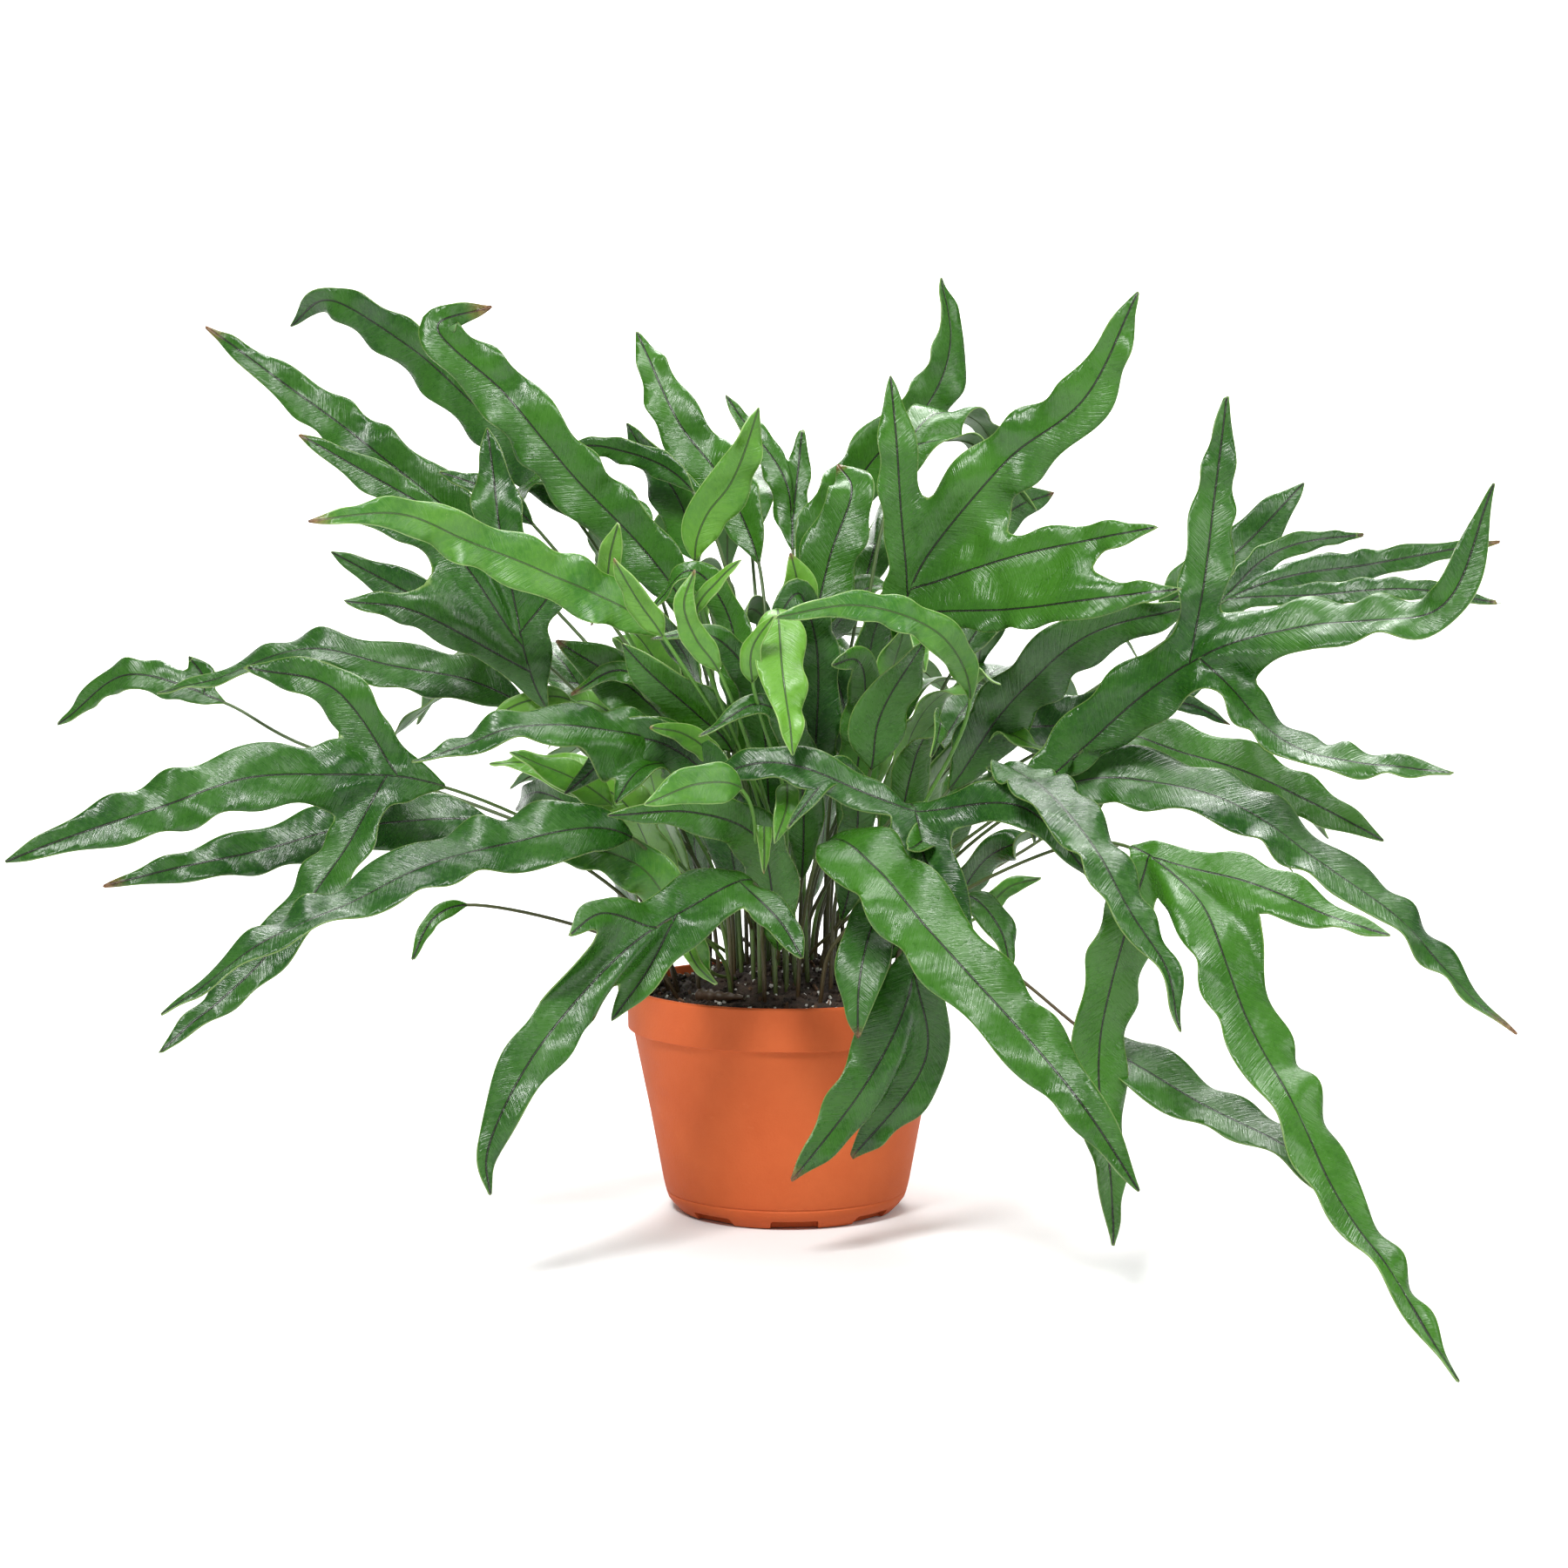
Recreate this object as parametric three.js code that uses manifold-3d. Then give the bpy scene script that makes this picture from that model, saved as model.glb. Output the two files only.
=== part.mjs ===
// A potted fern: a nursery pot, its soil, creeping rhizomes and wavy, lobed fronds.
// Millimetres, +Z up. The origin is the middle of the pot's underside.
import * as THREE from 'three';
import { mergeVertices } from 'three/addons/utils/BufferGeometryUtils.js';
import Module from 'manifold-3d';

const wasm = await Module();
wasm.setup();

// ---- driving dimensions -------------------------------------------------------------
const POT = {
  height: 106, rimRadius: 75, bandHeight: 20, bandStep: 3, footRadius: 57, heelRadius: 51,
  heelHeight: 9, wall: 1.8, floor: 3, segments: 48,
  notches: 8, notchWidth: 22, notchHeight: 4, notchTurn: 4,
  channelInner: 30, channelOuter: 45, channelDepth: 2, drainRadius: 4, drains: 8,
};
const SOIL = { crown: 104, edge: 100, gap: 0.3 };
const STIPE_RADIUS = 1.1;
const BLADE_THICKNESS = 1.4;
const FOOT_GAP = 0.5;
const RISE = [0.15, 0.45];     // a stipe climbs steeply first: share of its way out and up
const GUARD = 0.5;            // extra half thickness kept free round each frond
const TWIST = THREE.MathUtils.degToRad(24);   // of a blade about its midrib, base to tip
const OUTWARD = 0.45;         // how far a blade's face turns to the side that it leans to
const GROUND = 4;             // nothing green comes lower than this
const BACK_FRONDS = 11;
const GOLDEN_RATIO = 0.618;

const UP_FRONT = [0, -1, 0.7];
const FRONT = [0, -1, 0.2];
const UP = [0, -0.3, 1];

// ---- materials ----------------------------------------------------------------------
const finish = (color, roughness) => new THREE.MeshStandardMaterial({ color, roughness, metalness: 0 });
const TONES = {
  mature: () => finish(0x2f6b2a, 0.45),
  young: () => finish(0x63a83a, 0.45),
};

// ---- fronds -------------------------------------------------------------------------
// Each frond has a stipe (foot on the soil, then on up to the blade's base), the points
// that its blade's midrib goes on through, and lobes. A lobe is where it leaves the blade,
// as a share of the blade, then a point it passes and its tip.
const FRONDS = [
  { name: 'left_hand', width: 32, face: UP_FRONT, stipe: [[-50, -14], [-157, -45, 204]],
    blade: [[-233, -75, 211], [-277, -90, 200], [-343, -105, 177]],
    lobes: [[0.08, [-205, -45, 248], [-247, -40, 258]], [0.1, [-220, -85, 146], [-276, -110, 92]]] },
  { name: 'left_front', width: 32, face: UP_FRONT, stipe: [[-40, -30], [-70, -80, 185]],
    blade: [[-100, -100, 190], [-145, -120, 180], [-200, -150, 160], [-263, -185, 124]], lobes: [] },
  { name: 'left_low', width: 27, face: UP_FRONT, stipe: [[-55, -5], [-138, -10, 183]],
    blade: [[-205, -15, 180], [-246, -20, 171], [-314, -30, 156]], lobes: [] },
  { name: 'left_flat', width: 26, face: UP_FRONT, stipe: [[-40, 5], [-123, 10, 236]],
    blade: [[-187, 20, 255], [-226, 25, 260], [-298, 35, 239]], lobes: [] },
  { name: 'left_far', width: 18, face: UP_FRONT, stipe: [[-50, 15], [-239, 55, 216], [-272, 65, 233]],
    blade: [[-321, 80, 244], [-359, 95, 219]], lobes: [[0.1, [-282, 72, 244], [-290, 75, 254]]] },
  { name: 'left_high', width: 27, face: FRONT, stipe: [[-25, 20], [-126, 55, 294]],
    blade: [[-179, 80, 337], [-228, 105, 373], [-287, 130, 413]],
    lobes: [[0.1, [-180, 65, 331], [-235, 75, 361]]] },
  { name: 'left_hooked', width: 26, face: FRONT, stipe: [[-20, 24], [-102, 70, 322]],
    blade: [[-147, 100, 371], [-189, 125, 405], [-229, 145, 427], [-249, 155, 414]], lobes: [] },
  { name: 'left_tall', width: 28, face: FRONT, stipe: [[-18, -5], [-46, -10, 282]],
    blade: [[-98, -5, 343], [-131, 0, 382], [-161, 5, 412], [-137, 10, 421]], lobes: [] },
  { name: 'left_bright', tone: 'young', width: 25, face: UP_FRONT, stipe: [[-22, -12], [-56, -50, 272]],
    blade: [[-109, -65, 302], [-145, -75, 318], [-169, -80, 328], [-209, -95, 326]], lobes: [] },
  { name: 'left_fan', width: 27, face: FRONT, stipe: [[-30, -5], [-111, -20, 238]],
    blade: [[-129, -15, 306], [-138, -5, 365]],
    lobes: [[0.2, [-159, -25, 314], [-201, -30, 326]], [0.12, [-173, -35, 284], [-201, -40, 288]],
      [0.25, [-112, -20, 285], [-101, -25, 302]]] },
  { name: 'left_back', width: 22, face: UP_FRONT, stipe: [[-35, 12], [-125, 40, 262]],
    blade: [[-168, 50, 280], [-218, 65, 305]], lobes: [] },
  { name: 'left_droop', width: 27, face: UP_FRONT, stipe: [[-25, -35], [-45, -55, 208]],
    blade: [[-61, -75, 229], [-118, -105, 235], [-162, -125, 224]],
    lobes: [[0.12, [-66, -88, 214], [-76, -95, 201]]] },
  { name: 'front_left', width: 30, face: UP_FRONT, stipe: [[-10, -50], [-16, -100, 168]],
    blade: [[-48, -125, 156], [-82, -150, 132], [-110, -170, 98], [-127, -180, 61], [-125, -185, 46]],
    lobes: [[0.04, [-3, -118, 152], [7, -130, 137]], [0.2, [-61, -130, 132], [-76, -135, 111]],
      [0.25, [-79, -150, 160], [-93, -165, 152]]] },
  { name: 'front_cross', width: 27, face: UP_FRONT, stipe: [[20, -25], [55, -110, 202]],
    blade: [[60, -125, 180], [70, -135, 165], [80, -140, 150]],
    lobes: [[0.06, [-7, -105, 220], [-47, -100, 210]], [0.06, [101, -135, 204], [131, -154, 176]]] },
  { name: 'right_hand', width: 31, face: UP_FRONT, stipe: [[45, -20], [121, -55, 210]],
    blade: [[172, -85, 259], [226, -110, 282], [280, -130, 289], [302, -135, 343]],
    lobes: [[0.28, [187, -80, 316], [195, -70, 382]], [0.3, [228, -125, 226], [285, -150, 222]],
      [0.05, [112, -66, 205], [101, -75, 200]]] },
  { name: 'right_inner', width: 27, face: UP_FRONT, stipe: [[35, 5], [93, 15, 221]],
    blade: [[134, 25, 226], [171, 30, 237], [199, 40, 243]], lobes: [] },
  { name: 'right_fan', width: 30, face: FRONT, stipe: [[18, -8], [50, -20, 270]],
    blade: [[60, -28, 300], [100, -45, 352], [133, -55, 379], [156, -60, 426]],
    lobes: [[0.16, [52, -35, 332], [47, -30, 389]], [0.18, [115, -55, 312], [165, -75, 322]],
      [0.08, [118, -75, 288], [172, -100, 297]]] },
  { name: 'back_tall', width: 28, face: FRONT, stipe: [[8, 14], [7, 60, 294]],
    blade: [[41, 85, 347], [68, 100, 375], [81, 110, 409], [77, 118, 437]], lobes: [] },
  { name: 'back_right', width: 28, face: FRONT, stipe: [[25, 18], [181, 85, 276]],
    blade: [[219, 100, 302], [255, 118, 336]], lobes: [] },
  { name: 'right_thin', width: 18, face: UP_FRONT, stipe: [[45, 12], [182, 50, 264]],
    blade: [[222, 58, 288], [282, 75, 299], [348, 90, 309]],
    lobes: [[0.2, [238, 80, 305], [285, 105, 312]], [0.25, [299, 55, 287], [343, 50, 282]]] },
  { name: 'right_long', width: 31, face: UP_FRONT, stipe: [[50, -15], [122, -50, 203]],
    blade: [[164, -65, 209], [216, -90, 190], [261, -115, 157], [314, -145, 107]], lobes: [] },
  { name: 'right_second', width: 29, face: UP_FRONT, stipe: [[52, 0], [144, 5, 224]],
    blade: [[187, 0, 213], [220, -5, 204], [276, -15, 175]], lobes: [] },
  { name: 'front_long', width: 31, face: UP_FRONT, stipe: [[46, -38], [112, -92, 178], [147, -160, 190]],
    blade: [[170, -190, 174], [181, -215, 147], [202, -265, 98], [231, -315, 46], [257, -345, 9]],
    lobes: [[0.06, [194, -195, 178], [246, -225, 162]], [0.05, [135, -155, 110], [140, -170, 20]]] },
  { name: 'front_droop', width: 34, face: UP_FRONT, stipe: [[5, -45], [18, -100, 185]],
    blade: [[38, -140, 180], [60, -165, 155], [95, -190, 120], [125, -210, 85], [145, -220, 55]], lobes: [] },
  { name: 'front_pot', width: 31, face: FRONT, stipe: [[30, -48], [50, -76, 142], [58, -92, 140]],
    blade: [[53, -105, 115], [33, -115, 76], [2, -120, 38]],
    lobes: [[0.2, [62, -100, 89], [28, -98, 42]]] },
  { name: 'front_small', width: 24, face: FRONT, stipe: [[15, -50], [43, -96, 160]],
    blade: [[36, -112, 145], [32, -124, 126], [31, -130, 103]], lobes: [] },
  { name: 'right_drop', width: 26, face: UP_FRONT, stipe: [[40, -30], [95, -85, 215]],
    blade: [[105, -135, 215], [125, -185, 200], [140, -215, 170], [155, -230, 150], [160, -240, 125]], lobes: [] },
  { name: 'right_gloss', width: 31, face: FRONT, stipe: [[28, 0], [74, 10, 199]],
    blade: [[105, 5, 247], [131, 0, 271], [182, -10, 290]], lobes: [] },
  { name: 'low_right', width: 27, face: UP_FRONT, stipe: [[50, -32], [80, -75, 132], [122, -130, 106]],
    blade: [[143, -150, 92], [196, -195, 67], [230, -225, 34]], lobes: [] },
  { name: 'back_spur', width: 18, face: FRONT, stipe: [[18, 10], [95, 60, 310]],
    blade: [[109, 65, 326], [129, 70, 333]], lobes: [] },
  { name: 'right_curl', width: 16, face: UP_FRONT, stipe: [[38, -44], [80, -85, 159]],
    blade: [[95, -95, 145], [100, -105, 129]], lobes: [] },
  { name: 'back_left', width: 26, face: FRONT, stipe: [[-8, 22], [-14, 75, 301]],
    blade: [[-32, 90, 340], [-53, 105, 367], [-74, 125, 412]], lobes: [] },
  { name: 'back_left_low', width: 28, face: FRONT, stipe: [[-14, 12], [-43, 60, 302]],
    blade: [[-53, 75, 331], [-77, 95, 366]], lobes: [] },
  { name: 'centre_bright', tone: 'young', width: 21, face: FRONT, stipe: [[-8, -4], [-42, -20, 306]],
    blade: [[-37, -22, 325], [-25, -25, 341], [-13, -30, 375]], lobes: [] },
  { name: 'centre_fold', width: 28, face: FRONT, stipe: [[8, 2], [13, 30, 267]],
    blade: [[20, 38, 302], [31, 45, 336], [24, 60, 348]], lobes: [] },
  { name: 'back_small', width: 18, face: FRONT, stipe: [[0, 34], [3, 110, 305]],
    blade: [[0, 120, 336], [-30, 140, 380]], lobes: [[0.2, [6, 128, 345], [8, 138, 364]]] },
  { name: 'centre_drop', tone: 'young', width: 22, face: FRONT,
    stipe: [[-4, -16], [-4, -45, 272], [-4, -75, 286]],
    blade: [[-2, -100, 264], [0, -110, 246], [2, -118, 225]], lobes: [] },
  { name: 'centre_dark', width: 24, face: FRONT, stipe: [[8, -20], [30, -35, 212]],
    blade: [[25, -30, 243], [9, -25, 282]], lobes: [] },
  { name: 'front_thin', tone: 'young', width: 16, face: UP_FRONT,
    stipe: [[28, -14], [65, -45, 200], [82, -70, 246]],
    blade: [[68, -95, 275], [33, -112, 290], [-7, -122, 285]], lobes: [] },
  { name: 'centre_pale', tone: 'young', width: 20, face: FRONT, stipe: [[3, -10], [1, -50, 268]],
    blade: [[5, -57, 288], [2, -65, 308]], lobes: [] },
  { name: 'front_leaf', tone: 'young', width: 19, face: UP_FRONT, stipe: [[-12, -42], [-20, -120, 211]],
    blade: [[-38, -132, 214], [-60, -145, 207]], lobes: [] },
  { name: 'right_upright', width: 26, face: FRONT, stipe: [[20, -38], [38, -70, 215]],
    blade: [[41, -75, 235], [60, -85, 273]], lobes: [] },
  { name: 'inner_left', width: 28, face: FRONT, stipe: [[-10, -28], [-25, -60, 222]],
    blade: [[-40, -65, 238], [-73, -75, 270]], lobes: [] },
  { name: 'inner_left_low', width: 30, face: FRONT, stipe: [[-24, -18], [-41, -28, 214]],
    blade: [[-65, -28, 242], [-104, -32, 269]], lobes: [] },
];

// The fronds on the far side are spread by the golden ratio, the lower ones reaching further.
function backFrond(k) {
  const aim = THREE.MathUtils.degToRad(18 + 144 * ((k * GOLDEN_RATIO) % 1));
  const tier = k / (BACK_FRONDS - 1);
  const reach = 280 - 130 * tier;
  const top = 215 + 165 * tier;
  const footRadius = 58 - 22 * tier;
  const along = (share, height) => [
    Math.round(reach * share * Math.cos(aim)), Math.round(reach * share * Math.sin(aim)), height];
  const side = k % 2 ? 1 : -1;
  const off = (share, turn, height) => [
    Math.round(reach * share * Math.cos(aim + side * turn)),
    Math.round(reach * share * Math.sin(aim + side * turn)), height];
  return {
    name: `rear_${String(k + 1).padStart(2, '0')}`, width: 30, face: UP,
    stipe: [[footRadius * Math.cos(aim), footRadius * Math.sin(aim)], along(0.46, top - 45)],
    blade: [along(0.65, top - 8), along(0.85, top - 12), along(1, top - 50)],
    lobes: [[0.15, off(0.7, 0.22, top - 22), off(0.85, 0.38, top - 55)]],
  };
}

// ---- helpers ------------------------------------------------------------------------
function asSolid(geometry) {
  const bare = geometry.clone();
  bare.deleteAttribute('normal');
  bare.deleteAttribute('uv');
  const merged = mergeVertices(bare, 1e-4);
  return new wasm.Manifold(new wasm.Mesh({
    numProp: 3,
    vertProperties: new Float32Array(merged.attributes.position.array),
    triVerts: new Uint32Array(merged.index.array),
  }));
}

function asGeometry(solid) {
  const { vertProperties, triVerts } = solid.getMesh();
  const geometry = new THREE.BufferGeometry();
  geometry.setAttribute('position', new THREE.BufferAttribute(vertProperties, 3));
  geometry.setIndex(new THREE.BufferAttribute(triVerts, 1));
  return geometry;
}

function namedMesh(name, geometry, material) {
  const mesh = new THREE.Mesh(geometry, material);
  mesh.name = name;
  return mesh;
}

const lathe = (profile, segments) =>
  new THREE.LatheGeometry(profile.map(([r, z]) => new THREE.Vector2(r, z)), segments).rotateX(Math.PI / 2);

const soilHeight = (r) => SOIL.crown - (SOIL.crown - SOIL.edge) * (r / POT.rimRadius) ** 2;

// ---- pot and soil -------------------------------------------------------------------
function potGeometry() {
  const { height, rimRadius, bandHeight, bandStep, footRadius, heelRadius, heelHeight, wall, floor } = POT;
  const underBand = rimRadius - bandStep;
  const profile = [
    [0, 0], [POT.channelInner, 0], [POT.channelInner, POT.channelDepth],
    [POT.channelOuter, POT.channelDepth], [POT.channelOuter, 0], [heelRadius, 0],
    [footRadius - 1.5, heelHeight - 4], [footRadius, heelHeight],
    [underBand, height - bandHeight], [rimRadius - 0.6, height - bandHeight],
    [rimRadius - 0.4, height - 2], [rimRadius, height - 1.2], [rimRadius - 0.5, height],
    [rimRadius - 2.6, height], [rimRadius - 3, height - 1.5], [underBand - wall, height - bandHeight],
    [footRadius - wall, heelHeight], [heelRadius - wall, POT.channelDepth + floor],
    [0, POT.channelDepth + floor],
  ];
  let solid = asSolid(lathe(profile, POT.segments));
  for (let k = 0; k < POT.notches; k += 1) {
    const turn = THREE.MathUtils.degToRad(-90 + POT.notchTurn + k * 360 / POT.notches);
    const notch = new THREE.BoxGeometry(12, POT.notchWidth, POT.notchHeight * 2);
    notch.translate(heelRadius + 2, 0, 0).rotateZ(turn);
    solid = solid.subtract(asSolid(notch));
  }
  const middle = (POT.channelInner + POT.channelOuter) / 2;
  for (let k = 0; k < POT.drains; k += 1) {
    const turn = (k + 0.5) * 2 * Math.PI / POT.drains;
    const hole = new THREE.CylinderGeometry(POT.drainRadius, POT.drainRadius, 30, 12);
    hole.rotateX(Math.PI / 2).translate(middle * Math.cos(turn), middle * Math.sin(turn), 0);
    solid = solid.subtract(asSolid(hole));
  }
  return asGeometry(solid);
}

function soilGeometry() {
  const { bandHeight, bandStep, footRadius, heelRadius, heelHeight, height, rimRadius, wall } = POT;
  const inset = wall + SOIL.gap;
  const top = [66, 50, 34, 17, 0].map((r) => [r, soilHeight(r)]);
  const bottom = POT.channelDepth + POT.floor + SOIL.gap;
  const profile = [
    [0, bottom], [heelRadius - inset - 1, bottom],
    [footRadius - inset - 0.4, heelHeight], [rimRadius - bandStep - inset - 0.4, height - bandHeight], ...top,
  ];
  return lathe(profile, 32);
}

// ---- frond solids -------------------------------------------------------------------
const toVector = ([x, y, z]) => new THREE.Vector3(x, y, z);

// A leaf strip: at each station along the curve a flat diamond, closed at both ends. The
// upper and under sides are split along the same diagonals, so that where the strip twists
// its thin margins don't pass through each other.
function strip(curve, from, to, stations, halfWidth, halfThickness, faceAt) {
  const positions = [];
  const index = [];
  for (let i = 0; i <= stations; i += 1) {
    const u = i / stations;
    const t = from + (to - from) * u;
    const p = curve.getPoint(t);
    const along = curve.getTangent(t);
    const face = faceAt(along, u);
    const across = new THREE.Vector3().crossVectors(along, face).normalize();
    const w = halfWidth(u);
    const h = halfThickness(u);
    for (const [a, b] of [[w, 0], [0, h], [-w, 0], [0, -h]]) {
      positions.push(...p.clone().addScaledVector(across, a).addScaledVector(face, b).toArray());
    }
    if (i < stations) {
      for (let c = 0; c < 4; c += 1) {
        const a = 4 * i + c;
        const b = 4 * i + (c + 1) % 4;
        if (c < 2) index.push(a, a + 4, b, b, a + 4, b + 4);
        else index.push(a, a + 4, b + 4, a, b + 4, b);
      }
    }
  }
  const last = 4 * stations;
  index.push(0, 1, 2, 0, 2, 3, last, last + 2, last + 1, last, last + 3, last + 2);
  const geometry = new THREE.BufferGeometry();
  geometry.setAttribute('position', new THREE.Float32BufferAttribute(positions, 3));
  geometry.setIndex(index);
  return geometry;
}

// The leaf's upper face: the wanted direction, squared up to the midrib and then twisted.
function facing(direction, foot, tip, twist) {
  const outward = new THREE.Vector3(tip.x - foot.x, tip.y - foot.y, 0).normalize();
  const wanted = toVector(direction).normalize().addScaledVector(outward, OUTWARD);
  return (along, u) => wanted.clone().addScaledVector(along, -wanted.dot(along)).normalize()
    .applyAxisAngle(along, twist * u);
}

const leafTaper = (u) => (0.35 + 0.65 * Math.min(1, u / 0.2)) * (1 - 0.93 * u ** 4);
const lobeTaper = (u) => 1 - 0.93 * u ** 3.5;

function frondSolid(row, extra) {
  const foot = row.stipe[0];
  const footHeight = soilHeight(Math.hypot(foot[0], foot[1])) + FOOT_GAP;
  const [nextX, nextY, nextZ] = row.stipe[1];
  const climb = [foot[0] + RISE[0] * (nextX - foot[0]), foot[1] + RISE[0] * (nextY - foot[1]),
    footHeight + RISE[1] * (nextZ - footHeight)];
  const stem = [[foot[0], foot[1], footHeight], climb, ...row.stipe.slice(1)];
  const curve = new THREE.CatmullRomCurve3([...stem, ...row.blade].map(toVector), false, 'centripetal');
  const base = (stem.length - 1) / (stem.length + row.blade.length - 1);
  const rootedAt = toVector(stem[0]);
  const tip = toVector(row.blade.at(-1));
  const face = facing(row.face, rootedAt, tip, row.twist);
  const half = row.width / 2;
  const thick = BLADE_THICKNESS / 2;
  const round = () => STIPE_RADIUS + extra;
  let solid = asSolid(strip(curve, 0, base + 0.02, 6, round, round, (along) => face(along, 0)));
  const leaf = strip(curve, base, 1, 9, (u) => half * leafTaper(u) + extra,
    (u) => thick * (1 - 0.6 * u) + extra, face);
  solid = solid.add(asSolid(leaf));
  for (const [share, pass, end] of row.lobes) {
    const start = curve.getPoint(base + (1 - base) * share);
    const rib = new THREE.CatmullRomCurve3([start, toVector(pass), toVector(end)]);
    const lobe = strip(rib, 0, 1, 5, (u) => 0.42 * row.width * lobeTaper(u) + extra,
      (u) => thick * (1 - 0.6 * u) + extra, (along, u) => face(along, share + 0.5 * u));
    solid = solid.add(asSolid(lobe));
  }
  return { solid, foot: rootedAt, tip };
}

// A frond's pose: turned about the upright through its foot, and leaned toward or away.
function poseMatrix(foot, tip, turn, lean) {
  const out = Math.atan2(tip.y - foot.y, tip.x - foot.x) + turn;
  const sideways = new THREE.Vector3(Math.sin(out), -Math.cos(out), 0);
  return new THREE.Matrix4().makeTranslation(foot.x, foot.y, foot.z)
    .multiply(new THREE.Matrix4().makeRotationAxis(sideways, lean))
    .multiply(new THREE.Matrix4().makeRotationZ(turn))
    .multiply(new THREE.Matrix4().makeTranslation(-foot.x, -foot.y, -foot.z));
}

// Small changes of pose, the least change first.
const STEPS = [];
for (let turn = -24; turn <= 24; turn += 2) {
  for (let lean = -16; lean <= 16; lean += 2) STEPS.push([turn, lean]);
}
STEPS.sort((a, b) => Math.hypot(a[0], a[1]) - Math.hypot(b[0], b[1]));

const boxOf = (geometry) => {
  geometry.computeBoundingBox();
  return geometry.boundingBox;
};

function clearPose(guard, foot, tip, taken) {
  const shape = asGeometry(guard);
  for (const [turn, lean] of STEPS) {
    const matrix = poseMatrix(foot, tip, THREE.MathUtils.degToRad(turn), THREE.MathUtils.degToRad(lean));
    const posed = shape.clone().applyMatrix4(matrix);
    const box = boxOf(posed);
    const solid = asSolid(posed);
    const near = taken.filter((other) => other.box.intersectsBox(box));
    if (box.min.z > GROUND && near.every((other) => solid.intersect(other.solid).isEmpty())) return matrix;
  }
  return null;
}

// ---- rhizomes -----------------------------------------------------------------------
function rhizomeGeometry(radius, sweep) {
  const thickness = 3;
  const points = [0, 0.5, 1].map((share) => {
    const a = sweep * share;
    return new THREE.Vector3(radius * Math.cos(a), radius * Math.sin(a),
      soilHeight(radius) + thickness + 0.7 + 1.5 * share);
  });
  const outline = new THREE.Shape().absarc(0, 0, thickness, 0, 2 * Math.PI);
  return new THREE.ExtrudeGeometry(outline, {
    steps: 8, curveSegments: 4, bevelEnabled: false, extrudePath: new THREE.CatmullRomCurve3(points),
  });
}

// ---- the whole plant ----------------------------------------------------------------
const fern = new THREE.Group();
const taken = [];
function place(name, geometry, material) {
  fern.add(namedMesh(name, geometry, material));
  taken.push({ solid: asSolid(geometry), box: boxOf(geometry) });
}

place('pot', potGeometry(), finish(0xc4603a, 0.5));
place('soil', soilGeometry(), finish(0x2c211b, 0.95));

const rows = [...FRONDS, ...Array.from({ length: BACK_FRONDS }, (_, k) => backFrond(k))];
rows.forEach((row, k) => {
  row.twist = k % 2 ? TWIST : -TWIST;
  const { solid, foot, tip } = frondSolid(row, 0);
  const lifted = asGeometry(frondSolid(row, GUARD).solid).translate(0, 0, GUARD);
  const matrix = clearPose(asSolid(lifted), foot, tip, taken);
  if (!matrix) throw new Error(`${row.name} has no free place`);
  place(`frond_${row.name}`, asGeometry(solid).applyMatrix4(matrix), TONES[row.tone ?? 'mature']());
});

['a', 'b', 'c'].forEach((letter, k) => {
  for (let degrees = 90 + 120 * k; degrees < 450 + 120 * k; degrees += 3) {
    const geometry = rhizomeGeometry(46 + 7 * k, 0.5).rotateZ(THREE.MathUtils.degToRad(degrees));
    const solid = asSolid(geometry);
    if (taken.every((other) => solid.intersect(other.solid).isEmpty())) {
      place(`rhizome_${letter}`, geometry, finish(0x4a3020, 0.85));
      return;
    }
  }
  throw new Error(`rhizome_${letter} has no free place`);
});

export default fern;
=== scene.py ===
# %% [markdown]
# # A potted fern, finished around its frame
# The frame holds the plant as plain solids: a pot, its soil, three rhizomes and a flat strip
# for each frond. This lesson keeps their places and gives each one its real surface: leathery
# leaves with ruffled margins, wiry stalks, crumbly soil and a moulded plastic pot.

# %% Load the frame
import bpy
import math
import numpy as np
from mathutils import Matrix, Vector, noise


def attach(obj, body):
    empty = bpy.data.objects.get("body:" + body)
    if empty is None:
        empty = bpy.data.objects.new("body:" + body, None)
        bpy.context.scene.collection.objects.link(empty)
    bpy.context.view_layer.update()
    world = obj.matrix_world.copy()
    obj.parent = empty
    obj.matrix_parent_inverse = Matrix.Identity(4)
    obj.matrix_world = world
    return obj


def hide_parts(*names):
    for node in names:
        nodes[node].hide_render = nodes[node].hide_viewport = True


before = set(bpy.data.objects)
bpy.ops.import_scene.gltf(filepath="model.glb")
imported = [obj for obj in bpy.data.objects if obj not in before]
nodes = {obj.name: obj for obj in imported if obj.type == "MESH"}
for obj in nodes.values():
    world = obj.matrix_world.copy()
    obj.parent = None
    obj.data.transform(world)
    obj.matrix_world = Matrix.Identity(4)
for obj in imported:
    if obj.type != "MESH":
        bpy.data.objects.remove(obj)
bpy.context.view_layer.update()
print("nodes in the frame:", len(nodes))

# %% [markdown]
# Blender works in metres, while a plant this size is easier to think about in millimetres.
# So lengths are written in millimetres and turned to metres where a mesh is made. Every
# operator acts on whatever is selected, so `pick` deselects all and selects what is asked.
# Two more helpers read and move all the points of a mesh at once.

# %% Small helpers
MM = 0.001
SEED = 7
dice = np.random.default_rng(SEED)


def pick(*objects):
    bpy.ops.object.select_all(action="DESELECT")
    for one in objects:
        one.select_set(True)
    bpy.context.view_layer.objects.active = objects[0]


def points_of(mesh):
    flat = np.empty(len(mesh.vertices) * 3, np.float32)
    mesh.vertices.foreach_get("co", flat)
    return flat.reshape(-1, 3).astype(float)


def move_points(mesh, points):
    mesh.vertices.foreach_set("co", np.asarray(points, np.float32).ravel())
    mesh.update()


print(f"one millimetre is {MM} m, random seed {SEED}")

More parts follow.
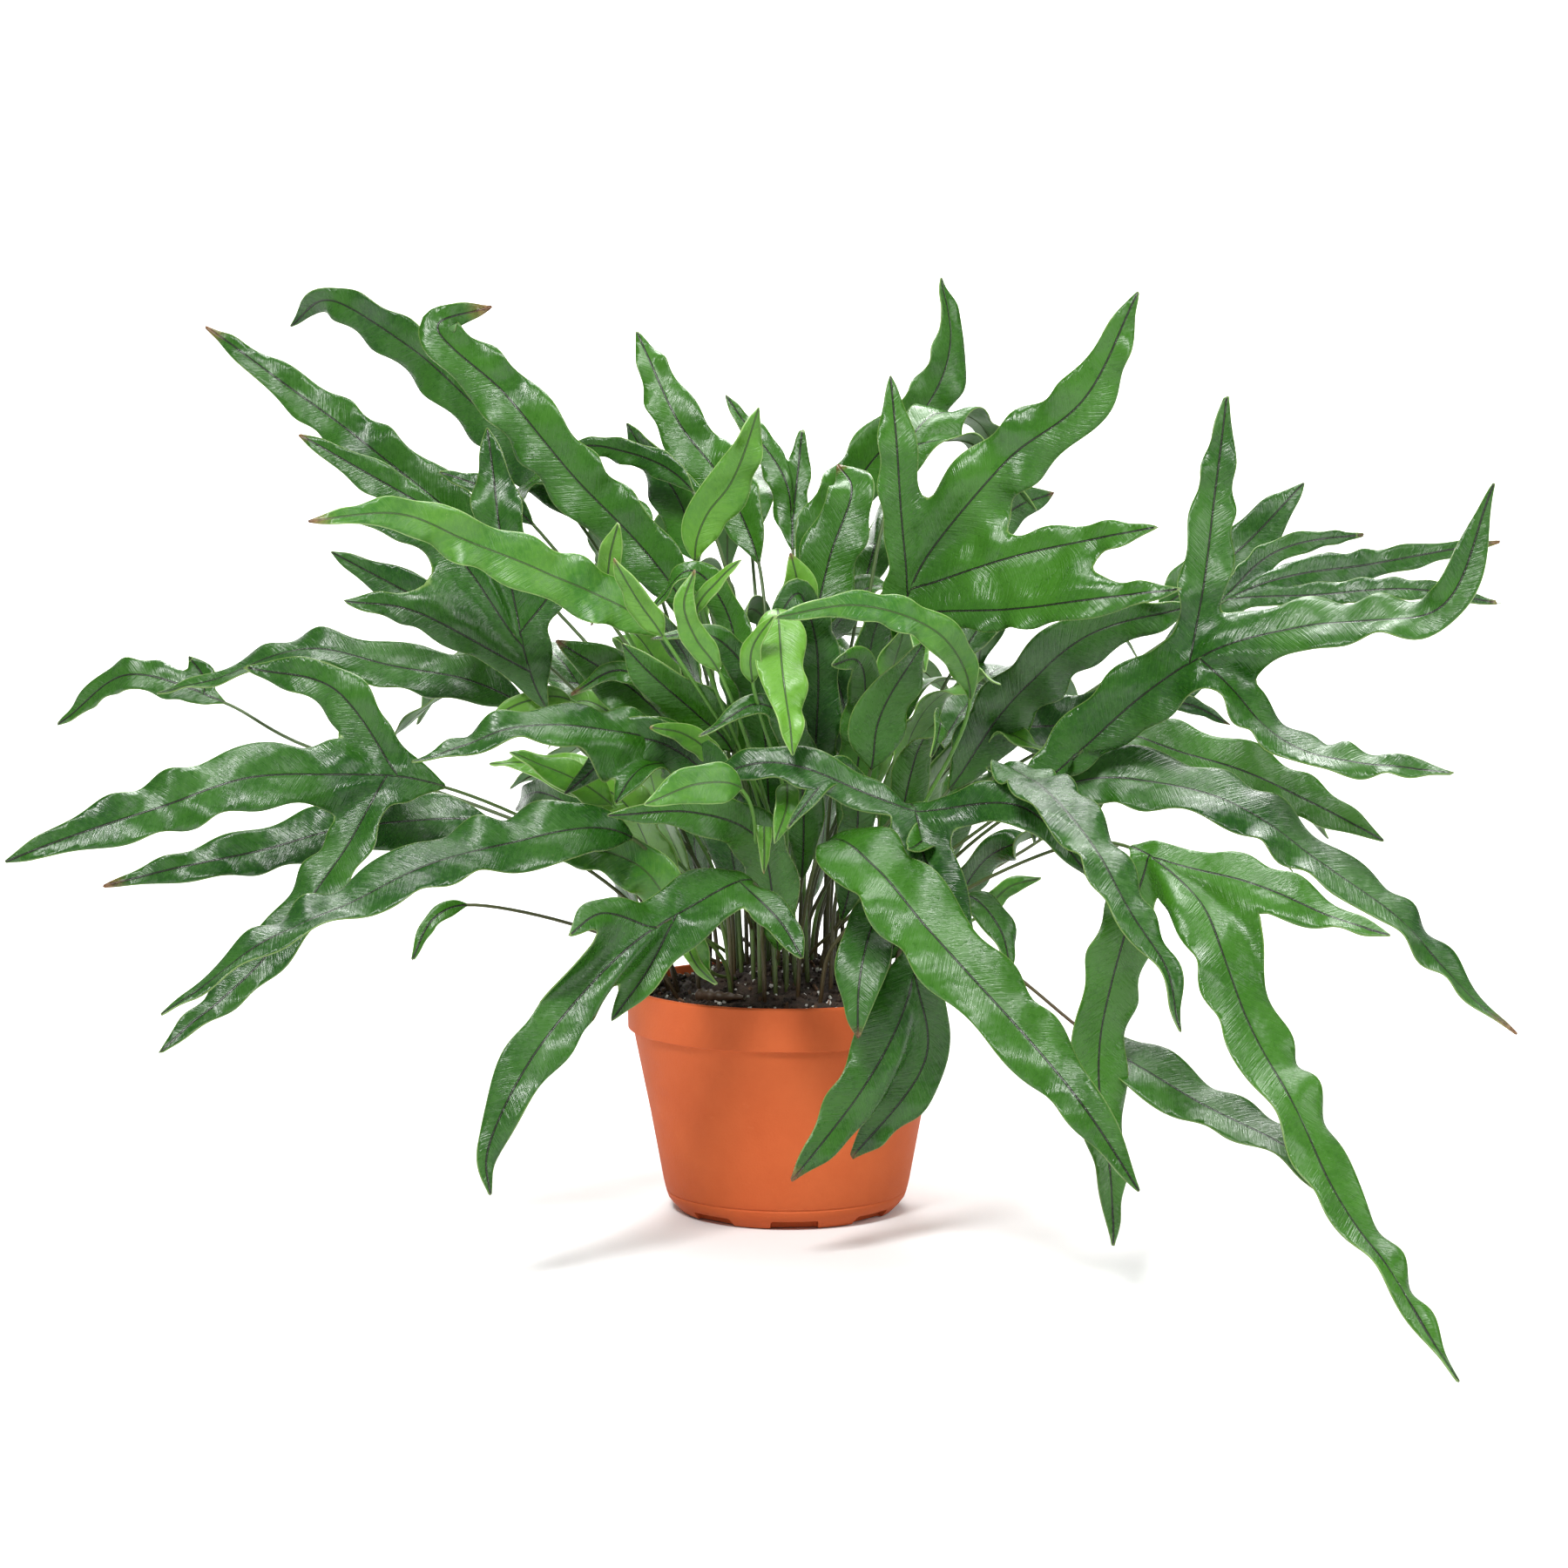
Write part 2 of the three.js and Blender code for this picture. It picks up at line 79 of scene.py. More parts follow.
# %% [markdown]
# ## Finishes
# A material is a graph of nodes. These helpers add a node with its settings and wire it up, so
# that each finish below reads as a short recipe. `blend_colours` mixes two colours by
# a factor, which is how spots, lines and worn places are all made.

# %% Node helpers
def new_material(name):
    material = bpy.data.materials.new(name)
    material.use_nodes = True
    return material, material.node_tree, material.node_tree.nodes["Principled BSDF"]


def put(tree, kind, links=(), **settings):
    node = tree.nodes.new(kind)
    for key, value in settings.items():
        setattr(node, key, value)
    for socket, source in dict(links).items():
        if hasattr(source, "is_linked"):
            tree.links.new(source, node.inputs[socket])
        else:
            node.inputs[socket].default_value = source
    return node


def maths(tree, operation, *values):
    return put(tree, "ShaderNodeMath", enumerate(values), operation=operation).outputs[0]


def times(tree, first, second):
    return maths(tree, "MULTIPLY", first, second)


def plus(tree, first, second):
    return maths(tree, "ADD", first, second)


def ramp(tree, value, low, high, to_low=0.0, to_high=1.0):
    links = {"Value": value, "From Min": low, "From Max": high, "To Min": to_low, "To Max": to_high}
    return put(tree, "ShaderNodeMapRange", links, clamp=True).outputs["Result"]


def blend_colours(tree, factor, first, second):
    node = put(tree, "ShaderNodeMix", {0: factor}, data_type="RGBA")
    for socket, colour in ((6, first), (7, second)):
        if hasattr(colour, "is_linked"):
            tree.links.new(colour, node.inputs[socket])
        else:
            node.inputs[socket].default_value = (*colour, 1)
    return node.outputs[2]


def speckle(tree, scale, detail=3.0, roughness=0.55):
    place = put(tree, "ShaderNodeTexCoord").outputs["Object"]
    links = {"Vector": place, "Scale": scale, "Detail": detail, "Roughness": roughness}
    return put(tree, "ShaderNodeTexNoise", links).outputs["Fac"]


def raise_surface(tree, shader, height, distance):
    bump = put(tree, "ShaderNodeBump", {"Height": height, "Distance": distance, "Strength": 1.0})
    tree.links.new(bump.outputs["Normal"], shader.inputs["Normal"])


print("node helpers:", [one.__name__ for one in (put, times, plus, ramp, blend_colours, speckle)])

# %% [markdown]
# ## The leaf's two sides
# This fern's frond is thick and leathery. Its upper side is a deep, glossy green, with a thin
# dark midrib, faint slanting veins and a pale, hair-thin margin. The underside is greyer and
# duller, and paler, partly as painted light shining through the thin leaf. The pattern has to
# follow each lobe, so it reads the leaf's own UV map, where U is the distance across from the
# nearest midrib and V the distance along it, both in metres.

# %% Leaf finishes
RIB_HALF = 0.30 * MM
MARGIN = 0.45 * MM
VEIN_SPACING = 5.0 * MM
DRY_DARK, DRY_PALE = (0.070, 0.022, 0.008), (0.260, 0.130, 0.050)


def leaf_finish(name, deep, light, rib, margin, gloss, relief, specular, pale_flecks):
    material, tree, shader = new_material(name)
    leaf_map = put(tree, "ShaderNodeUVMap", uv_map="blade").outputs[0]
    across, along, _ = put(tree, "ShaderNodeSeparateXYZ", {0: leaf_map}).outputs
    side = maths(tree, "ABSOLUTE", across)
    tone, depth, dry = (put(tree, "ShaderNodeAttribute", attribute_name=label).outputs["Fac"]
                        for label in ("tone", "depth", "dry"))
    cloud = speckle(tree, 26.0)
    mottle = speckle(tree, 380.0, 5.0, 0.65)
    # Veins leave the midrib on a slant: the same value all along such a slanting line.
    slant = maths(tree, "SUBTRACT", along, times(tree, side, 0.8))
    bent = plus(tree, slant, times(tree, mottle, 1.2 * MM))
    wave = maths(tree, "SINE", times(tree, bent, 2 * math.pi / VEIN_SPACING))
    vein = ramp(tree, wave, 0.5, 1.0)
    # Fine wrinkles run out to the margin beside the veins.
    slanted = put(tree, "ShaderNodeCombineXYZ", {0: times(tree, side, 130.0),
                                                 1: times(tree, slant, 1500.0)}).outputs[0]
    wrinkle = put(tree, "ShaderNodeTexNoise",
                  {"Vector": slanted, "Scale": 1.0, "Detail": 3.0}).outputs["Fac"]
    patch = ramp(tree, plus(tree, cloud, times(tree, tone, 0.45)), 0.42, 0.98)
    body = blend_colours(tree, patch, deep, light)
    body = blend_colours(tree, ramp(tree, mottle, 0.45, 0.80, 0.0, 0.45), body, light)
    body = blend_colours(tree, ramp(tree, mottle, 0.28, 0.46, 0.35, 0.0), body, deep)
    body = blend_colours(tree, times(tree, vein, 0.08), body, light)
    flecks = ramp(tree, speckle(tree, 900.0, 2.0), 0.70, 0.78, 0.0, pale_flecks)
    body = blend_colours(tree, flecks, body, margin)
    near_rib = ramp(tree, side, RIB_HALF, 1.7 * RIB_HALF, 1.0, 0.0)
    body = blend_colours(tree, near_rib, body, rib)
    at_edge = ramp(tree, depth, 0.2 * MARGIN, MARGIN, 0.6, 0.0)
    body = blend_colours(tree, at_edge, body, margin)
    scorched = blend_colours(tree, ramp(tree, mottle, 0.35, 0.65), DRY_DARK, DRY_PALE)
    tree.links.new(blend_colours(tree, dry, body, scorched), shader.inputs["Base Color"])
    sheen = plus(tree, plus(tree, mottle, cloud), times(tree, wrinkle, 0.6))
    tree.links.new(ramp(tree, sheen, 0.9, 1.7, gloss - 0.08, gloss + 0.14), shader.inputs["Roughness"])
    shader.inputs["Specular IOR Level"].default_value = specular
    height = plus(tree, speckle(tree, 95.0, 2.0), times(tree, wrinkle, 0.36))
    height = plus(tree, height, times(tree, vein, -0.06))
    height = plus(tree, height, times(tree, near_rib, -0.35))
    raise_surface(tree, shader, height, relief)
    return material


leaf_top = leaf_finish(
    "leaf_top", deep=(0.006, 0.046, 0.003), light=(0.032, 0.128, 0.006), rib=(0.008, 0.012, 0.004),
    margin=(0.20, 0.30, 0.08), gloss=0.25, relief=0.9 * MM, specular=0.45, pale_flecks=0.35)
# The undersides are greyer than the tops, and paler: that paleness is partly painted light shining
# through the thin leaf.
leaf_under = leaf_finish(
    "leaf_under", deep=(0.030, 0.098, 0.022), light=(0.075, 0.178, 0.044), rib=(0.020, 0.020, 0.010),
    margin=(0.18, 0.24, 0.10), gloss=0.48, relief=0.5 * MM, specular=0.40, pale_flecks=0.15)
young_top = leaf_finish(
    "young_leaf_top", deep=(0.022, 0.115, 0.006), light=(0.100, 0.265, 0.018),
    rib=(0.030, 0.070, 0.010), margin=(0.34, 0.50, 0.16), gloss=0.34, relief=0.6 * MM, specular=0.50,
    pale_flecks=0.25)
# Painted light: this underside is paler partly to show light shining through the young leaf.
young_under = leaf_finish(
    "young_leaf_under", deep=(0.070, 0.200, 0.030), light=(0.170, 0.370, 0.070),
    rib=(0.060, 0.110, 0.030), margin=(0.32, 0.44, 0.18), gloss=0.50, relief=0.5 * MM, specular=0.35,
    pale_flecks=0.15)
print("leaf finishes:", [m.name for m in (leaf_top, leaf_under, young_top, young_under)])

# %% [markdown]
# The stalk, or stipe, is wiry and almost black-brown where it leaves the soil, and turns green
# on its way up to the blade. Height decides the colour, because every stalk starts at the same
# soil, and a fine speckle breaks up the change and roughens the skin.

# %% Stalk and rhizome finishes
def height_of_point(tree):
    place = put(tree, "ShaderNodeTexCoord").outputs["Object"]
    return put(tree, "ShaderNodeSeparateXYZ", {0: place}).outputs[2]


def stalk_finish(name, low, high, low_height, high_height):
    material, tree, shader = new_material(name)
    height = height_of_point(tree)
    grain = speckle(tree, 500.0)
    share = ramp(tree, plus(tree, height, times(tree, grain, 0.03)), low_height, high_height)
    tree.links.new(blend_colours(tree, share, low, high), shader.inputs["Base Color"])
    tree.links.new(ramp(tree, grain, 0.3, 0.7, 0.35, 0.6), shader.inputs["Roughness"])
    raise_surface(tree, shader, grain, 0.15 * MM)
    return material


stalk = stalk_finish("stalk", low=(0.055, 0.024, 0.010), high=(0.050, 0.090, 0.018),
                     low_height=0.110, high_height=0.210)
young_stalk = stalk_finish("young_stalk", low=(0.060, 0.060, 0.016), high=(0.090, 0.230, 0.030),
                           low_height=0.110, high_height=0.200)
rootstock = stalk_finish("rootstock", low=(0.026, 0.013, 0.007), high=(0.062, 0.034, 0.016),
                         low_height=0.100, high_height=0.130)
print("stalk finishes:", stalk.name, young_stalk.name, rootstock.name)

# %% [markdown]
# Potting mix is peat, dark and matt, with every crumb its own shade of brown. Perlite is
# expanded white mineral, so its grains are chalky with grey pits. The pot is moulded
# terracotta-coloured plastic: an even satin skin with a very fine orange peel, and a painted
# shade that makes it slightly darker low down.

# %% Soil, perlite and pot finishes
def crumb_finish(name, dark, pale, scale, rough, relief):
    material, tree, shader = new_material(name)
    patch = speckle(tree, scale, 4.0)
    grit = speckle(tree, scale * 6, 3.0)
    body = blend_colours(tree, ramp(tree, patch, 0.35, 0.7), dark, pale)
    tree.links.new(blend_colours(tree, ramp(tree, grit, 0.55, 0.75, 0.0, 0.4), body, dark),
                   shader.inputs["Base Color"])
    tree.links.new(ramp(tree, grit, 0.3, 0.7, rough - 0.1, min(1.0, rough + 0.08)),
                   shader.inputs["Roughness"])
    raise_surface(tree, shader, plus(tree, patch, grit), relief)
    return material


peat = crumb_finish("peat", dark=(0.012, 0.007, 0.005), pale=(0.055, 0.032, 0.020),
                    scale=160.0, rough=0.9, relief=1.0 * MM)
bark = crumb_finish("bark_bits", dark=(0.050, 0.024, 0.012), pale=(0.170, 0.090, 0.048),
                    scale=300.0, rough=0.85, relief=0.5 * MM)
perlite = crumb_finish("perlite", dark=(0.45, 0.43, 0.39), pale=(0.80, 0.79, 0.75),
                       scale=500.0, rough=0.85, relief=0.4 * MM)


ORANGE_DEEP, ORANGE_LIGHT = (0.465, 0.090, 0.026), (0.550, 0.122, 0.038)
# Below: a painted shade for low on the pot, and a paler orange for scuffs.
ORANGE_PAINTED_SHADE, ORANGE_SCUFFED = (0.340, 0.075, 0.026), (0.640, 0.200, 0.085)


def pot_finish():
    material, tree, shader = new_material("terracotta_plastic")
    height = height_of_point(tree)
    cloud = speckle(tree, 22.0, 5.0)
    peel = speckle(tree, 900.0, 2.0)
    scuff = speckle(tree, 130.0, 6.0, 0.7)
    body = blend_colours(tree, ramp(tree, cloud, 0.3, 0.75), ORANGE_DEEP, ORANGE_LIGHT)
    # Painted shade: the pot grows darker towards its foot, in cloudy patches.
    low = times(tree, ramp(tree, height, 0.0, 0.030, 1.0, 0.0), ramp(tree, cloud, 0.3, 0.7))
    body = blend_colours(tree, times(tree, low, 0.30), body, ORANGE_PAINTED_SHADE)
    body = blend_colours(tree, ramp(tree, scuff, 0.62, 0.80, 0.0, 0.22), body, ORANGE_SCUFFED)
    tree.links.new(body, shader.inputs["Base Color"])
    tree.links.new(ramp(tree, plus(tree, scuff, cloud), 0.7, 1.3, 0.56, 0.70),
                   shader.inputs["Roughness"])
    shader.inputs["Specular IOR Level"].default_value = 0.10
    raise_surface(tree, shader, plus(tree, peel, times(tree, cloud, 0.8)), 0.12 * MM)
    return material


terracotta = pot_finish()
print("pot and soil finishes:", [m.name for m in (terracotta, peat, bark, perlite)])

# %% [markdown]
# ## Where the fronds grow
# Each frond has a wiry stalk, the stipe, and a strap-shaped blade that some fronds divide into
# fingers. A row below gives its points in millimetres: where the stalk leaves the
# soil and arches to, the points that the midrib passes, and each lobe as a share of the blade
# where it branches, a point that it passes, and its tip. They are the frame's own points, so
# every finished blade lies where its plain solid does.

# %% The frond rows
UP_FRONT, FRONT, UP = (0, -1, 0.7), (0, -1, 0.2), (0, -0.3, 1)


def frond(name, width, face, stipe, blade, *lobes, tone="mature"):
    return {"name": name, "width": width, "face": face, "stipe": stipe, "blade": blade, "lobes": lobes,
            "tone": tone}


FRONDS = [
    frond("left_hand", 32, UP_FRONT, [[-50, -14], [-157, -45, 204]],
          [[-233, -75, 211], [-277, -90, 200], [-343, -105, 177]],
          [0.08, [-205, -45, 248], [-247, -40, 258]], [0.1, [-220, -85, 146], [-276, -110, 92]]),
    frond("left_front", 32, UP_FRONT, [[-40, -30], [-70, -80, 185]],
          [[-100, -100, 190], [-145, -120, 180], [-200, -150, 160], [-263, -185, 124]]),
    frond("left_low", 27, UP_FRONT, [[-55, -5], [-138, -10, 183]],
          [[-205, -15, 180], [-246, -20, 171], [-314, -30, 156]]),
    frond("left_flat", 26, UP_FRONT, [[-40, 5], [-123, 10, 236]],
          [[-187, 20, 255], [-226, 25, 260], [-298, 35, 239]]),
    frond("left_far", 18, UP_FRONT, [[-50, 15], [-239, 55, 216], [-272, 65, 233]],
          [[-321, 80, 244], [-359, 95, 219]], [0.1, [-282, 72, 244], [-290, 75, 254]]),
    frond("left_high", 27, FRONT, [[-25, 20], [-126, 55, 294]],
          [[-179, 80, 337], [-228, 105, 373], [-287, 130, 413]],
          [0.1, [-180, 65, 331], [-235, 75, 361]]),
    frond("left_hooked", 26, FRONT, [[-20, 24], [-102, 70, 322]],
          [[-147, 100, 371], [-189, 125, 405], [-229, 145, 427], [-249, 155, 414]]),
    frond("left_tall", 28, FRONT, [[-18, -5], [-46, -10, 282]],
          [[-98, -5, 343], [-131, 0, 382], [-161, 5, 412], [-137, 10, 421]]),
    frond("left_bright", 25, UP_FRONT, [[-22, -12], [-56, -50, 272]],
          [[-109, -65, 302], [-145, -75, 318], [-169, -80, 328], [-209, -95, 326]], tone="young"),
    frond("left_fan", 27, FRONT, [[-30, -5], [-111, -20, 238]], [[-129, -15, 306], [-138, -5, 365]],
          [0.2, [-159, -25, 314], [-201, -30, 326]], [0.12, [-173, -35, 284], [-201, -40, 288]],
          [0.25, [-112, -20, 285], [-101, -25, 302]]),
    frond("left_back", 22, UP_FRONT, [[-35, 12], [-125, 40, 262]], [[-168, 50, 280], [-218, 65, 305]]),
    frond("left_droop", 27, UP_FRONT, [[-25, -35], [-45, -55, 208]],
          [[-61, -75, 229], [-118, -105, 235], [-162, -125, 224]],
          [0.12, [-66, -88, 214], [-76, -95, 201]]),
    frond("front_left", 30, UP_FRONT, [[-10, -50], [-16, -100, 168]],
          [[-48, -125, 156], [-82, -150, 132], [-110, -170, 98], [-127, -180, 61], [-125, -185, 46]],
          [0.04, [-3, -118, 152], [7, -130, 137]], [0.2, [-61, -130, 132], [-76, -135, 111]],
          [0.25, [-79, -150, 160], [-93, -165, 152]]),
    frond("front_cross", 27, UP_FRONT, [[20, -25], [55, -110, 202]],
          [[60, -125, 180], [70, -135, 165], [80, -140, 150]],
          [0.06, [-7, -105, 220], [-47, -100, 210]],
          [0.06, [101, -135, 204], [131, -154, 176]]),
    frond("right_hand", 31, UP_FRONT, [[45, -20], [121, -55, 210]],
          [[172, -85, 259], [226, -110, 282], [280, -130, 289], [302, -135, 343]],
          [0.28, [187, -80, 316], [195, -70, 382]], [0.3, [228, -125, 226], [285, -150, 222]],
          [0.05, [112, -66, 205], [101, -75, 200]]),
    frond("right_inner", 27, UP_FRONT, [[35, 5], [93, 15, 221]],
          [[134, 25, 226], [171, 30, 237], [199, 40, 243]]),
    frond("right_fan", 30, FRONT, [[18, -8], [50, -20, 270]],
          [[60, -28, 300], [100, -45, 352], [133, -55, 379], [156, -60, 426]],
          [0.16, [52, -35, 332], [47, -30, 389]], [0.18, [115, -55, 312], [165, -75, 322]],
          [0.08, [118, -75, 288], [172, -100, 297]]),
    frond("back_tall", 28, FRONT, [[8, 14], [7, 60, 294]],
          [[41, 85, 347], [68, 100, 375], [81, 110, 409], [77, 118, 437]]),
    frond("back_right", 28, FRONT, [[25, 18], [181, 85, 276]], [[219, 100, 302], [255, 118, 336]]),
    frond("right_thin", 18, UP_FRONT, [[45, 12], [182, 50, 264]],
          [[222, 58, 288], [282, 75, 299], [348, 90, 309]], [0.2, [238, 80, 305], [285, 105, 312]],
          [0.25, [299, 55, 287], [343, 50, 282]]),
    frond("right_long", 31, UP_FRONT, [[50, -15], [122, -50, 203]],
          [[164, -65, 209], [216, -90, 190], [261, -115, 157], [314, -145, 107]]),
    frond("right_second", 29, UP_FRONT, [[52, 0], [144, 5, 224]],
          [[187, 0, 213], [220, -5, 204], [276, -15, 175]]),
    frond("front_long", 31, UP_FRONT, [[46, -38], [112, -92, 178], [147, -160, 190]],
          [[170, -190, 174], [181, -215, 147], [202, -265, 98], [231, -315, 46], [257, -345, 9]],
          [0.06, [194, -195, 178], [246, -225, 162]], [0.05, [135, -155, 110], [140, -170, 20]]),
    frond("front_droop", 34, UP_FRONT, [[5, -45], [18, -100, 185]],
          [[38, -140, 180], [60, -165, 155], [95, -190, 120], [125, -210, 85], [145, -220, 55]]),
    frond("front_pot", 31, FRONT, [[30, -48], [50, -76, 142], [58, -92, 140]],
          [[53, -105, 115], [33, -115, 76], [2, -120, 38]], [0.2, [62, -100, 89], [28, -98, 42]]),
    frond("front_small", 24, FRONT, [[15, -50], [43, -96, 160]],
          [[36, -112, 145], [32, -124, 126], [31, -130, 103]]),
    frond("right_drop", 26, UP_FRONT, [[40, -30], [95, -85, 215]],
          [[105, -135, 215], [125, -185, 200], [140, -215, 170], [155, -230, 150], [160, -240, 125]]),
    frond("right_gloss", 31, FRONT, [[28, 0], [74, 10, 199]],
          [[105, 5, 247], [131, 0, 271], [182, -10, 290]]),
    frond("low_right", 27, UP_FRONT, [[50, -32], [80, -75, 132], [122, -130, 106]],
          [[143, -150, 92], [196, -195, 67], [230, -225, 34]]),
    frond("back_spur", 18, FRONT, [[18, 10], [95, 60, 310]], [[109, 65, 326], [129, 70, 333]]),
    frond("right_curl", 16, UP_FRONT, [[38, -44], [80, -85, 159]], [[95, -95, 145], [100, -105, 129]]),
    frond("back_left", 26, FRONT, [[-8, 22], [-14, 75, 301]],
          [[-32, 90, 340], [-53, 105, 367], [-74, 125, 412]]),
    frond("back_left_low", 28, FRONT, [[-14, 12], [-43, 60, 302]], [[-53, 75, 331], [-77, 95, 366]]),
    frond("centre_bright", 21, FRONT, [[-8, -4], [-42, -20, 306]],
          [[-37, -22, 325], [-25, -25, 341], [-13, -30, 375]], tone="young"),
    frond("centre_fold", 28, FRONT, [[8, 2], [13, 30, 267]],
          [[20, 38, 302], [31, 45, 336], [24, 60, 348]]),
    frond("back_small", 18, FRONT, [[0, 34], [3, 110, 305]], [[0, 120, 336], [-30, 140, 380]],
          [0.2, [6, 128, 345], [8, 138, 364]]),
    frond("centre_drop", 22, FRONT, [[-4, -16], [-4, -45, 272], [-4, -75, 286]],
          [[-2, -100, 264], [0, -110, 246], [2, -118, 225]], tone="young"),
    frond("centre_dark", 24, FRONT, [[8, -20], [30, -35, 212]], [[25, -30, 243], [9, -25, 282]]),
    frond("front_thin", 16, UP_FRONT, [[28, -14], [65, -45, 200], [82, -70, 246]],
          [[68, -95, 275], [33, -112, 290], [-7, -122, 285]], tone="young"),
    frond("centre_pale", 20, FRONT, [[3, -10], [1, -50, 268]], [[5, -57, 288], [2, -65, 308]],
          tone="young"),
    frond("front_leaf", 19, UP_FRONT, [[-12, -42], [-20, -120, 211]],
          [[-38, -132, 214], [-60, -145, 207]],
          tone="young"),
    frond("right_upright", 26, FRONT, [[20, -38], [38, -70, 215]], [[41, -75, 235], [60, -85, 273]]),
    frond("inner_left", 28, FRONT, [[-10, -28], [-25, -60, 222]], [[-40, -65, 238], [-73, -75, 270]]),
    frond("inner_left_low", 30, FRONT, [[-24, -18], [-41, -28, 214]],
          [[-65, -28, 242], [-104, -32, 269]]),
]
print("fronds placed by hand:", len(FRONDS))

# %% [markdown]
# The far side is filled by a rule instead: fronds that fan out at golden-ratio steps, so that
# no two line up. A second rule of the same kind, with shorter and steeper fronds, makes the
# small leaves in the heart of the plant, which the frame leaves out because they are thin and
# crowded. One in four of those is young and pale.

# %% Fronds that follow a rule
GOLDEN_RATIO = 0.618
REAR_FRONDS = 11
HEART_LEAVES = 36


def rounded(value):
    return math.floor(value + 0.5)


def polar(reach, aim, height):
    return [rounded(reach * math.cos(aim)), rounded(reach * math.sin(aim)), rounded(height)]


def rear_row(k):
    aim = math.radians(18 + 144 * (k * GOLDEN_RATIO % 1))
    tier = k / (REAR_FRONDS - 1)
    reach, top, foot = 280 - 130 * tier, 215 + 165 * tier, 58 - 22 * tier
    side = 1 if k % 2 else -1
    return frond(f"rear_{k + 1:02d}", 30, UP,
                 [polar(foot, aim, 0)[:2], polar(0.46 * reach, aim, top - 45)],
                 [polar(0.65 * reach, aim, top - 8), polar(0.85 * reach, aim, top - 12),
                  polar(reach, aim, top - 50)],
                 [0.15, polar(0.7 * reach, aim + side * 0.22, top - 22),
                  polar(0.85 * reach, aim + side * 0.38, top - 55)])


def heart_row(k):
    aim = 2 * math.pi * (k * GOLDEN_RATIO % 1)
    tier = (k + 0.5) / HEART_LEAVES
    reach, top = 62 + 78 * (1 - tier), 176 + 128 * tier
    face = (0.6 * math.cos(aim), 0.6 * math.sin(aim) - 0.7, 0.6)
    return frond(f"heart_{k + 1:02d}", 17 + k * 7 % 11, face,
                 [polar(8 + 22 * (1 - tier), aim, 0)[:2], polar(0.45 * reach, aim + 0.2, 0.66 * top)],
                 [polar(0.70 * reach, aim + 0.1, 0.93 * top), polar(0.92 * reach, aim - 0.1, top),
                  polar(1.15 * reach, aim - 0.3, top - 12 * (k % 3))],
                 tone="young" if k % 4 == 1 else "mature")


rows = FRONDS + [rear_row(k) for k in range(REAR_FRONDS)]
hearts = [heart_row(k) for k in range(HEART_LEAVES)]
print("rear fronds:", REAR_FRONDS, "heart leaves:", len(hearts))

# %% [markdown]
# Between the big fronds a few more small leaves show, most of them new and pale. Each one
# fills a gap of its own, so each has its own points instead of a rule.

# %% The newest leaves
def newest(name, width, foot, *blade, tone="young", face=FRONT):
    return frond(name, width, face, [foot, blade[0]], blade[1:], tone=tone)


hearts += [
    newest("new_fold", 13, (5, -35), (-55, -85, 275), (-65, -90, 290), (-75, -95, 310)),
    newest("new_curl", 12, (0, -30), (-30, -95, 260), (-40, -100, 275), (-45, -105, 290),
           (-40, -105, 305)),
    newest("new_hook", 7, (-5, -35), (-40, -95, 285), (-30, -105, 300), (-20, -110, 310)),
    newest("new_left", 12, (-20, -20), (-80, -45, 290), (-80, -50, 305), (-75, -60, 325)),
    newest("new_bend", 10, (10, -30), (-15, -95, 255), (-15, -100, 270), (-5, -105, 285)),
    newest("new_left_low", 11, (-15, -30), (-30, -65, 215), (-45, -75, 230), (-60, -85, 235)),
    newest("new_middle", 11, (0, -40), (0, -90, 210), (0, -100, 200), (-5, -105, 185)),
    newest("new_rim", 7, (-25, -40), (-45, -80, 145), (-45, -85, 140), (-40, -95, 130),
           (-30, -100, 120)),
    newest("new_drip", 7, (-5, -45), (-10, -85, 195), (-10, -90, 185), (-10, -95, 170)),
    newest("new_behind", 12, (-25, 15), (-120, 30, 320), (-140, 35, 335), (-165, 40, 345),
           tone="mature"),
    newest("new_under", 10, (-25, -5), (-100, -10, 240), (-120, -15, 240), (-140, -20, 230)),
    newest("new_pale", 16, (-25, -20), (-80, -40, 195), (-100, -50, 210), (-125, -60, 220),
           face=UP_FRONT),
    newest("new_hang", 8, (-50, -25), (-145, -50, 150), (-160, -60, 145), (-170, -65, 125),
           tone="mature"),
    newest("new_right", 9, (35, -30), (85, -60, 145), (100, -65, 160), (115, -70, 165), face=UP_FRONT),
    newest("new_back", 13, (-5, 25), (-45, 50, 335), (-85, 70, 355), (-110, 75, 355), tone="mature"),
    newest("new_right_back", 9, (30, 10), (165, 20, 235), (190, 25, 235), (210, 25, 225),
           tone="mature"),
]
print("newest leaves:", len(hearts) - HEART_LEAVES)

# %% [markdown]
# ## A curve through the points
# The midribs are Catmull-Rom curves: smooth lines that pass through every point given, with
# the centripetal spacing that keeps them from looping where points are close together. The
# stalk and the blade are one such curve, cut where the blade starts.

# %% Midrib curves
SOIL_CROWN, SOIL_EDGE, RIM_RADIUS = 104, 100, 75
FOOT_GAP = 0.5
RISE_OUT, RISE_UP = 0.15, 0.45
OUTWARD = 0.45
TWIST = math.radians(24)


def soil_height(radius):
    return SOIL_CROWN - (SOIL_CROWN - SOIL_EDGE) * (radius / RIM_RADIUS) ** 2


